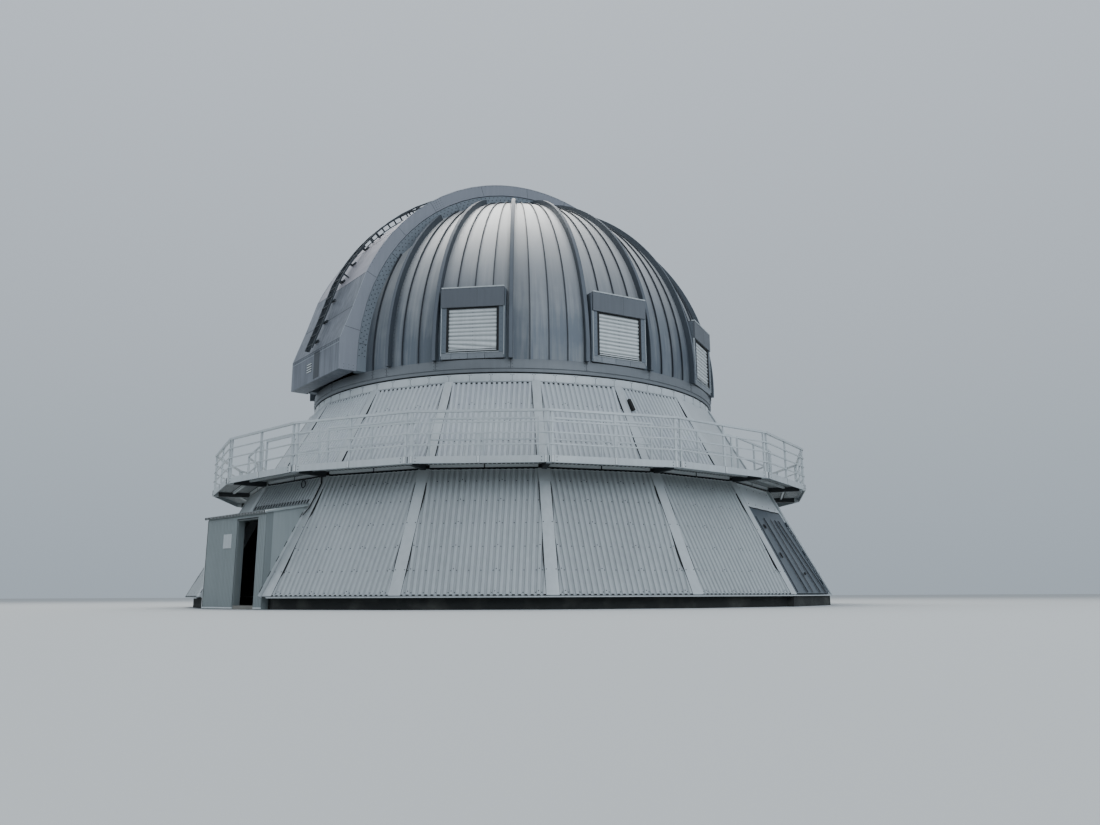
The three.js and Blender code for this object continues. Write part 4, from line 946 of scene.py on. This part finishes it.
def dome_metal(name, low, high, light, tone_share):
    """Bare weathered metal sheet: the colour runs from a bluish grey at the foot to a warmer grey
    above, a painted reflection of the darker horizon low down and the bright sky higher up, with pale
    runs about 9 cm wide and 1.7 m long down each sheet, clouds of about 1.1 m, and soft waves about
    70 cm apart."""
    material, tree, shader, place = new_material(name)
    level = add_node(tree, "ShaderNodeSeparateXYZ", {0: place}).outputs["Z"]
    painted_sheen = map_range(tree, level, 6.5, 10.6, curve="SMOOTHSTEP")
    body = mix(tree, painted_sheen, linear(low), linear(high))
    surface = add_node(tree, "ShaderNodeUVMap", {}, uv_map="surface").outputs[0]
    down = add_node(tree, "ShaderNodeMapping", {"Vector": surface, "Scale": (9, 0.45, 1)}).outputs[0]
    run = noise(tree, down, 1.3, 6)
    both = {0: run, 1: noise(tree, place, 0.9, 5)}
    both = add_node(tree, "ShaderNodeMath", both, operation="ADD").outputs[0]
    sheen_and_streaks = mix(tree, map_range(tree, both, 0.9, 1.35, 0, 0.28), body, linear(light))
    finish = toned(tree, sheen_and_streaks, tone_share)
    gloss = map_range(tree, run, 0, 1, 0.42, 0.60)
    waves = bump(tree, noise(tree, place, 1.5, 2), 0.35, 0.02)
    feed(tree, shader, {"Base Color": finish, "Roughness": gloss, "Metallic": 0.4, "Normal": waves})
    return material


# Weathered zinc-coated sheet. The bright sky's soft vertical sheen is painted into its colour, lighter
# towards the top.
dome_sheet = dome_metal("dome_sheet_painted_sheen", "#565e66", "#b8b9b9", "#b6b5b2", 0.10)
# Folded seams hold dirt and stand in their own shade: dark.
seam_metal = painted_sheet("dark_seam_metal", "#363b41", "#2a2e33", 0.5, 0.4)
# The ribs' caps are painted a matt slate grey darker than the sheets, and their sides darker still:
# painted shade.
rib_cap_shade = painted_sheet("rib_cap_painted_shade", "#565d65", "#454c53", 0.6, 0.2, 0.05)
rib_side_shade = painted_sheet("shaded_rib_side", "#484f56", "#373d43", 0.5, 0.4)
# Edges of folded sheet and the ribs' heads, painted pale as highlights where they catch the sky.
edge_highlight_metal = painted_sheet("edge_highlight_sheet", "#9aa1a6", "#747b80", 0.38, 0.6)
# Bolts and rivets: bare steel gone dark.
bolt_metal = painted_sheet("dark_bolt_heads", "#3a4045", "#26292c", 0.5, 0.5)
window_edges = np.concatenate([WINDOW_TURNS - WINDOW_HALF_TURN, WINDOW_TURNS + WINDOW_HALF_TURN])
foot_radius = DOME_RADIUS * np.cos(latitude_of(SHELL_FOOT))
shell_start = float(np.degrees(np.arcsin(SLIT_SIDE / foot_radius))) + 0.01
seam_turns = np.setdiff1d(np.arange(18.0, 163.0, SEAM_STEP), [*RIB_TURNS, 22.5])
# Narrow strips beside the girders let the sheets' edge follow the slit's side.
narrow = shell_start + np.array([0.0, 0.1, 0.3, 0.7, 1.3])
breaks = np.unique(np.concatenate([narrow, 180 - narrow, seam_turns, RIB_TURNS, window_edges]))


def meridian_bar(turn, side, width, foot_proud, depth):
    """A bar along a meridian from the shell's foot, or a window's top, to the slit's side."""
    latitude = np.linspace(foot_of(turn) + 0.001, latitude_at_slit(turn), 33)
    path = on_dome(side * turn, latitude, foot_proud)
    across = placed(SLIT_AZ + side * turn, 1.0, 0.0, 0.0)
    return bar(path, across, unit(path - DOME_MIDDLE), width, depth)


def rib_end(turn, side):
    """A block that closes a rib's head."""
    head = on_dome(side * turn, latitude_at_slit(turn) - 0.001, 0.07)
    across = placed(SLIT_AZ + side * turn, 1.0, 0.0, 0.0)
    return boxes(head, across, head - DOME_MIDDLE, [0.104, 0.014, 0.156])


def rivets_beside(turn, side):
    """Rivets every 11 cm on both sides of a rib, up to the slit's side. The first rib has them all
    the way up, the others near their heads."""
    high = latitude_at_slit(turn)
    low = latitude_of(SHELL_FOOT) if turn == FIRST_RIB_TURN else high - 0.35
    latitude, right = np.meshgrid(np.arange(low, high - 0.01, 0.11 / DOME_RADIUS), [-0.082, 0.082])
    foot = on_dome(side * turn, latitude.ravel(), -0.002, right.ravel())
    return screws(foot, foot - DOME_MIDDLE, 0.010, 0.008)


quarters = {
    "front_right": (1, 0, 90),
    "front_left": (-1, 0, 90),
    "rear_right": (1, 90, 180),
    "rear_left": (-1, 90, 180),
}
for name, (side, low, high) in quarters.items():
    inside = breaks[(breaks >= low) & (breaks <= high)]
    tones = chance.random(60)
    gores = [gore(a, b, side, tones[int((a + b) / 2 / SEAM_STEP)]) for a, b in zip(inside, inside[1:])]
    shell = piece(f"dome_gores_{name}", gores, dome_sheet, "dome", 0.05)
    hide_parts(f"dome_shell_{name}")
    seams, ribs = [
        [t for t in turns if low <= t <= high and (t < 90 or low == 90)]
        for turns in (seam_turns, RIB_TURNS)
    ]
    for part, parts, finish in (
        ("seams", [meridian_bar(t, side, *SEAM) for t in seams], seam_metal),
        ("rib_sides", [meridian_bar(t, side, *RIB) for t in ribs], rib_side_shade),
        ("rib_caps", [meridian_bar(t, side, *RIB_CAP) for t in ribs], rib_cap_shade),
        # The ribs' heads are painted pale as highlights.
        ("rib_ends", [rib_end(t, side) for t in ribs], edge_highlight_metal),
        ("rivets", [rivets_beside(t, side) for t in ribs], bolt_metal),
    ):
        piece(f"dome_{part}_{name}", parts, finish, "dome")


# Dome windows
# Eight openings between the ribs, each a welded box of dark sheet: a flat hood over the head, side
# jambs, a sill of short pieces, and a light aluminium louvre in a black frame.

# Slate-grey sheet, half matt: the darkest broad faces of the dome.
window_sheet = painted_sheet("slate_window_sheet", "#5b6066", "#464a50", 0.46, 0.25, 0.1)
# Jambs and sill are bare sheet like the dome's, the sill washed paler by the rain.
jamb_sheet = painted_sheet("weathered_jamb_sheet", "#626a72", "#4c535a", 0.45, 0.35, 0.08)
sill_sheet = painted_sheet("weathered_sill_sheet", "#797e83", "#62676b", 0.45, 0.3, 0.14)
# Mill-finish aluminium slats: pale, with painted shade in the hollows between them.
louvre_metal = painted_sheet("aluminium_louvre", "#b9bebf", "#8c9090", 0.42, 0.3, 0.26)
LOUVRE = (0.598, 6.118, 7.208)
SLAT_PITCH = 0.0985
SLAT_BACK = 5.974
SLAT_DEPTH = 0.032
SAG_HEIGHT = 0.42
HOOD_FACE = 6.064
HOOD_FOOT = 7.235
JAMB_FACE = 6.028
SILL_FACE = 6.016
SILL_TOP = 6.084
FRAME_HALF = 0.658


def louvre_blind(azimuth, warp):
    """Horizontal slats: up the blind the surface bulges out once a slat, by the sine of its share,
    and each slat waves a little along its length. `warp` lets the low slats sag to one side."""
    half, low, high = LOUVRE
    rows = int((high - low) / SLAT_PITCH * 8) + 1
    z = np.linspace(low + 0.05, high, rows)[:, None]
    right = np.linspace(-half, half, 25)[None, :]
    across = (right + half) / (2 * half)
    share = np.clip((low + SAG_HEIGHT - z) / SAG_HEIGHT, 0, 1)
    bulge = np.sin(np.pi * (((z - low + warp * share * across) / SLAT_PITCH) % 1))
    wave = 0.003 * np.sin(right * 9 + np.floor(z / SLAT_PITCH) * 2.1)
    out = SLAT_BACK + SLAT_DEPTH * bulge**0.6 + wave
    # The tone follows the bulge: the hollows between slats are darker, as painted shade.
    return grid(placed(azimuth, right, out, z), tone=bulge**1.5)


def mirrored(right0, right1, *limits):
    """The limits of a block on the left and of its twin on the right."""
    return [(-right0, -right1, *limits), (right0, right1, *limits)]


def side_by_side(places, *limits):
    """The limits of blocks side by side, with 8 mm gaps at these places."""
    return [(a + 0.004, b - 0.004, *limits) for a, b in zip(places, places[1:])]


# Each list below has the limits of one sort of block in every window: the hood's two halves, the
# jambs and the upright caps beside them, the sill's four lengths, the folded edges painted bright
# as highlights, and the louvre's black frame with the joint in the hood.
half, low, high = LOUVRE
notches = (-0.792, -0.60, -0.33, -0.05, 0.114, 0.36, 0.60, 0.792)
hood = [
    (-0.788, 0.112, 5.62, HOOD_FACE, HOOD_FOOT, 7.735),
    (0.114, 0.788, 5.62, HOOD_FACE, HOOD_FOOT, 7.735),
]
jambs = [
    *mirrored(0.656, 0.780, 5.66, JAMB_FACE, 6.075, HOOD_FOOT),
    *mirrored(0.792, 0.822, 5.70, 6.010, 5.93, 7.700),
]
sill = side_by_side((-0.788, -0.53, -0.12, 0.31, 0.788), 5.66, SILL_FACE, 5.925, 6.072)
# Painted highlights on the hood's top rim, the sill's top edge and the jambs' folded edges.
highlight_edges = [
    *side_by_side(notches, 5.97, 6.070, 7.728, 7.758),
    (-0.660, 0.660, 5.99, 6.034, 6.072, SILL_TOP),
    *mirrored(0.778, 0.790, 5.96, 6.040, 6.0, HOOD_FOOT),
]
frame_bars = [
    *mirrored(half, FRAME_HALF, 5.68, 6.030, SILL_TOP, HOOD_FOOT),
    (0.1115, 0.1145, 6.00, HOOD_FACE + 0.0005, 7.237, 7.733),
    (-half, half, 5.68, 6.024, SILL_TOP, 6.116),
    (-half, half, 5.68, 6.020, 7.205, HOOD_FOOT),
    (-half, half, 5.95, 5.970, 6.116, 7.205),
]
for number, (side, turn) in enumerate([(s, t) for s in (1, -1) for t in WINDOW_TURNS], start=1):
    azimuth = SLIT_AZ + side * turn
    rim = placed(azimuth, np.arange(-0.72, 0.73, 0.16), HOOD_FACE, 7.705)
    right, z = np.meshgrid([-0.711, 0.711], np.arange(6.16, 7.2, 0.15))
    jamb_rivets = placed(azimuth, right.ravel(), JAMB_FACE, z.ravel())
    middle = placed(azimuth, 0.0, 6.002, np.arange(low + 0.1, high, SLAT_PITCH))
    sill_bolts = placed(azimuth, np.array([-0.66, -0.32, 0.10, 0.55]), SILL_FACE, 5.965)
    dots = np.concatenate([rim, jamb_rivets, middle, sill_bolts])
    rivets = screws(dots, placed(azimuth, 0.0, 1.0, 0.0), 0.009, 0.006)
    slats = louvre_blind(azimuth, 0.16 if number == 1 else 0.0)
    bottom_slat = blocks(azimuth, [(-half, half, 5.970, 6.002, 6.120, 6.150)])
    hoods = [blocks(azimuth, hood, (0.35, 0.6))]
    box = piece(f"window_{number}_hood", hoods, window_sheet, "dome")
    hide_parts(f"dome_window_{number}")
    for part, parts, finish, slot in (
        ("jambs", [blocks(azimuth, jambs, (0.5, 0.5, 0.4, 0.4))], jamb_sheet, "dark_sheet"),
        ("sill", [blocks(azimuth, sill, chance.random(4))], sill_sheet, "dark_sheet"),
        ("edges", [blocks(azimuth, highlight_edges)], trim_and_highlight_paint, "dark_sheet"),
        ("gaps", [blocks(azimuth, frame_bars)], black_and_painted_shade, "dark_sheet"),
        ("rivets", [rivets], bolt_metal, "dark_sheet"),
        ("louvre", [slats, bottom_slat], louvre_metal, "louvre"),
    ):
        piece(f"window_{number}_{part}", parts, finish, "dome")


# Slit girders and rear band
# Two curved box girders of riveted sheet carry the slit's sides. The part of each one that stands
# over the ends of the gores has three rows of bolts, set in turn.

# Riveted plate: bare, evenly weathered, a little lighter than the ribs.
girder_sheet = painted_sheet("riveted_girder_sheet", "#737c84", "#59636b", 0.5, 0.25, 0.05)
dress(girder_sheet, "slit_girder_right", "slit_girder_left", "dome_rear_band")
GIRDER_FACE = 1.580
GIRDER_BOLT_CIRCLES = (5.835, 5.905, 5.985)


def over_slit(right, angle, radius):
    """Points over the slit: `right` of its middle line, `angle` degrees up from the front, on a
    circle of `radius` about the dome's centre."""
    a = np.radians(angle)
    return placed(SLIT_AZ, right, radius * np.cos(a), DOME_CENTRE + radius * np.sin(a))


def radial(angle):
    """The direction straight out of the slit's arch at an angle."""
    return over_slit(0.0, angle, 1.0) - DOME_MIDDLE


across_slit = placed(SLIT_AZ, 1.0, 0.0, 0.0)
for side, name in ((1, "right"), (-1, "left")):
    radius, angle = np.meshgrid(GIRDER_BOLT_CIRCLES, np.arange(1.0, 179.1, 1.5))
    angle = angle + [0, 0.75, 0]
    foot = over_slit(side * GIRDER_FACE, angle.ravel(), radius.ravel())
    heads = screws(foot, side * across_slit, 0.017, 0.010)
    piece(f"girder_bolts_{name}", [heads], bolt_metal, "dome")
    angle = np.array([4.2, 31.0, 58.0, 85.0, 112.0, 139.0, 166.0])
    joint = over_slit(side * (GIRDER_FACE + 0.001), angle, 5.91)
    lines = boxes(joint, side * across_slit, radial(angle), [0.003, 0.010, 0.235])
    piece(f"girder_joints_{name}", [lines], black_and_painted_shade, "dome")


# Shutter
# The up-and-over shutter: a curved skin of bare sheet in long panels between two deep side plates.
# Panel joints are sealed laps that show as thin dark lines.

# Side plates: zinc-grey sheet, cleaner than the dome's.
fascia_sheet = painted_sheet("weathered_side_plate", "#83878f", "#6c7078", 0.42, 0.4, 0.05)
# The skin is the palest sheet of the dome, with a faintly warm cast.
skin_sheet = painted_sheet("weathered_shutter_skin", "#a3a1a8", "#86868e", 0.42, 0.4, 0.05)
# Sealant in the laps: dark, dull and rubbery. The same paint makes the painted shade on the apron.
sealant_and_shade = painted_sheet("dark_joint_sealant_and_shade", "#3d4248", "#2b2f33", 0.6)
# The apron at the shutter's foot is darker, with rain streaks.
apron_sheet = painted_sheet("streaked_apron_sheet", "#5f646d", "#8b9098", 0.45, 0.35, runs=0.8)
dress(fascia_sheet, "shutter_side_right", "shutter_side_left")
dress(skin_sheet, "shutter_middle", "shutter_top")
dress(apron_sheet, "shutter_front")
FASCIA_FACE = 1.600
FASCIA_INNER = 6.050
SKIN_HALF = 1.555
SKIN_RADIUS = 6.360
APRON_REACH = 6.530
# The shutter's front corners: angle up from the dome's centre, and distance from it.
CREASE_ANGLES = (4.32, 12.73, 22.19)
CREASE_RADII = (6.549, 6.367, 6.361)


def skin_at(angle):
    """Distance of the shutter's skin from the dome's centre at an angle up the slit."""
    return np.interp(angle, CREASE_ANGLES, CREASE_RADII)


angle = np.array([7.3, 22.4, 37.8, 50.5, 68.1, 83.7, 97.0])
outer = np.interp(angle, [*CREASE_ANGLES, 103.0], [*CREASE_RADII, SKIN_RADIUS]) - 0.015
joint_size = np.stack([np.full(7, 0.003), np.full(7, 0.010), outer - FASCIA_INNER], -1)
patch_radius, patch_angle = np.meshgrid(np.arange(6.09, 6.34, 0.06), np.arange(51.3, 54.0, 0.8))
foot_out, foot_z = np.meshgrid([6.14, 6.26, 6.40], [5.935, 6.02])
for side, name in ((1, "right"), (-1, "left")):
    face = side * (FASCIA_FACE + 0.001)
    joint = over_slit(face, angle, (outer + FASCIA_INNER) / 2)
    lines = boxes(joint, side * across_slit, radial(angle), joint_size)
    piece(f"shutter_joints_{name}", [lines], sealant_and_shade, "shutter")
    patch = over_slit(face, patch_angle.T.ravel(), patch_radius.T.ravel())
    foot_bolts = placed(SLIT_AZ, face, foot_out.ravel(), foot_z.ravel())
    edge_row = over_slit(face, np.arange(24.0, 102.0, 1.2), 6.335)
    heads = np.concatenate([patch, foot_bolts, edge_row])
    heads = screws(heads, side * across_slit, 0.009, 0.006)
    piece(f"shutter_bolts_{name}", [heads], bolt_metal, "shutter")
# A folded edge runs along both sides of the skin, painted pale as a highlight.
edge_angle = np.array([*CREASE_ANGLES, *np.arange(25.0, 103.0, 2.5)])
skin_highlights = [
    bar(over_slit(right, edge_angle, skin_at(edge_angle)), across_slit, radial(edge_angle), 0.016, 0.005)
    for right in (FASCIA_FACE - 0.006, 0.006 - FASCIA_FACE)
]
piece("shutter_skin_highlights", skin_highlights, edge_highlight_metal, "shutter")
lap_angle = np.array([*CREASE_ANGLES, 36.0, 49.5, 75.0, 88.5])
lap_radius = np.array([*CREASE_RADII, *[SKIN_RADIUS] * 4]) + 0.0005
laps = over_slit(0.0, lap_angle, lap_radius)
laps = boxes(laps, across_slit, radial(lap_angle), [2 * SKIN_HALF, 0.012, 0.004])
piece("shutter_skin_laps", [laps], sealant_and_shade, "shutter")
# Painted shade: a dark panel at the ladder's foot, where its feet shade the apron, and another behind
# a small white-lined vent beside it. Under the crease a band of dashes with a thin joint below.
apron_face = (APRON_REACH - 0.002, APRON_REACH + 0.003)
shade_panels = [(-0.05, 0.33, *apron_face, 5.93, 6.66), (-0.51, -0.18, *apron_face, 6.17, 6.43)]
dashes = placed(SLIT_AZ, np.arange(-1.5, 1.51, 0.12), APRON_REACH + 0.001, 6.652)
dashes = boxes(dashes, across_slit, [0, 0, 1], [0.06, 0.004, 0.018])
apron_shade_parts = [blocks(SLIT_AZ, shade_panels), dashes]
piece("apron_shade", apron_shade_parts, sealant_and_shade, "shutter")
apron_joint = blocks(SLIT_AZ, [(-SKIN_HALF, SKIN_HALF, *apron_face, 6.594, 6.608)])
piece("apron_joint", [apron_joint], edge_highlight_metal, "shutter")
vent = placed(SLIT_AZ, -0.345, APRON_REACH + 0.005, np.arange(6.20, 6.42, 0.068))
vent = boxes(vent, across_slit, [0, 0, 1], [0.31, 0.006, 0.026])
piece("apron_vent", [vent], white_trim_and_highlight, "shutter")


# Shutter ladder
# A maintenance ladder of dark galvanised bar up the middle of the shutter. Its left rail is a deep
# plate low down and a light truss of two chords above. Its stand-offs end in feet that are bolted
# to the skin.

# Old galvanised bar: near black against the sky, with a dull metal glint.
ladder_metal = painted_sheet("dark_galvanised_ladder", "#33393e", "#24282b", 0.5, 0.5)
dress(ladder_metal, "shutter_ladder")
LADDER_HALF = 0.22
LADDER_STANDOFF = 0.198


def rail_bar(angle, depth_below, width, depth):
    """A bar along the left rail, from a depth below its top edge inwards."""
    path = over_slit(-LADDER_HALF, angle, skin_at(angle) + LADDER_STANDOFF - depth_below)
    return bar(path, across_slit, -radial(angle), width, depth)


rail_angle = np.array([*CREASE_ANGLES, *np.arange(25.0, 82.5, 2.5)])
deep_rail = rail_bar(rail_angle[rail_angle < 40.0], 0.0, 0.046, 0.125)
chord = rail_bar(rail_angle[rail_angle > 36.0], 0.150, 0.040, 0.026)
web_angle = np.arange(40.5, 81.0, 2.25)
foot_angle = np.arange(6.6, 43.0, 6.0)
foot_angle[0] = 7.0
ladder_parts = [deep_rail, chord]
for right, angle, radius, size in (
    (-LADDER_HALF, web_angle, SKIN_RADIUS + LADDER_STANDOFF - 0.08, [0.030, 0.036, 0.160]),
    (-0.10, foot_angle, skin_at(foot_angle) + 0.022, [0.24, 0.06, 0.040]),
    (-LADDER_HALF, foot_angle, skin_at(foot_angle) + 0.09, [0.034, 0.06, 0.16]),
):
    ladder_parts.append(boxes(over_slit(right, angle, radius), across_slit, radial(angle), size))
piece("ladder_deep_rail", ladder_parts, ladder_metal, "shutter")


# Studio
# The camera stands where the photograph was taken from, a hand's width over the ground's own
# height, and looks slightly up. The floor and light are plain.
import mathutils

CAMERA_PLACE = (0, -26.194, 0.266)
HEADING, PITCH, ROLL = np.radians([2.4257, 12.022, -0.244])
# The lens sees one unit in `FOCAL_PIXELS` as one pixel of a picture of this width.
FOCAL_PIXELS, PICTURE_WIDTH = 860, 1100
forward = np.array([np.cos(PITCH) * np.sin(HEADING), np.cos(PITCH) * np.cos(HEADING), np.sin(PITCH)])
level_right = np.array([np.cos(HEADING), -np.sin(HEADING), 0.0])
level_up = np.cross(level_right, forward)
camera_right = np.cos(ROLL) * level_right + np.sin(ROLL) * level_up
camera_up = np.cos(ROLL) * level_up - np.sin(ROLL) * level_right
lens = bpy.data.cameras.new("camera")
lens.sensor_width = 36
lens.lens = FOCAL_PIXELS / PICTURE_WIDTH * lens.sensor_width
lens.clip_end = 1000
camera = bpy.data.objects.new("camera", lens)
axes = mathutils.Matrix(np.stack([camera_right, camera_up, -forward], 1).tolist()).to_4x4()
axes.translation = CAMERA_PLACE
camera.matrix_world = axes
bpy.context.scene.collection.objects.link(camera)
bpy.context.scene.camera = camera

# Plain floor: pale, matt and even.
floor_material, floor_tree, floor_shader, _ = new_material("pale_floor")
feed(floor_tree, floor_shader, {"Base Color": linear("#b0b3b3"), "Roughness": 0.95})
floor_azimuth = 90 + np.arange(96) * 3.75
floor_points = placed(floor_azimuth, 0.0, np.array([0.5, 8, 30, 400])[:, None], -0.002)
piece("floor", [grid(floor_points, loop_columns=True)], floor_material)

world = bpy.data.worlds.new("overcast")
bpy.context.scene.world = world
world.use_nodes = True
sky_tree = world.node_tree
sky_tree.nodes.clear()
sky_place = add_node(sky_tree, "ShaderNodeTexCoord", {}).outputs["Generated"]
height = add_node(sky_tree, "ShaderNodeSeparateXYZ", {0: sky_place}).outputs["Z"]
tint = mix(sky_tree, map_range(sky_tree, height, -0.05, 0.9), linear("#a6b3be"), linear("#e6eef8"))
sky = add_node(sky_tree, "ShaderNodeBackground", {"Color": tint, "Strength": 1.0}).outputs[0]
add_node(sky_tree, "ShaderNodeOutputWorld", {"Surface": sky})


def softbox(name, place, aim, size, power, colour):
    """A square area light at a place, turned to look at a point."""
    light = bpy.data.lights.new(name, "AREA")
    light.size = size
    light.energy = power
    light.color = linear(colour)[:3]
    lamp = bpy.data.objects.new(name, light)
    lamp.location = place
    way = mathutils.Vector(aim) - mathutils.Vector(place)
    lamp.rotation_euler = way.to_track_quat("-Z", "Y").to_euler()
    bpy.context.scene.collection.objects.link(lamp)


softbox("overhead", (-4, 9, 36), (0, 0, 8), 24, 13000, "#fbf9f4")
softbox("front_fill", (16, -38, 20), (0, 0, 4), 22, 6500, "#e6eef8")
softbox("left_fill", (-40, -16, 14), (0, 0, 5), 20, 2600, "#e6eef8")
softbox("right_fill", (40, -12, 16), (0, 0, 7), 20, 1800, "#d8e4f2")
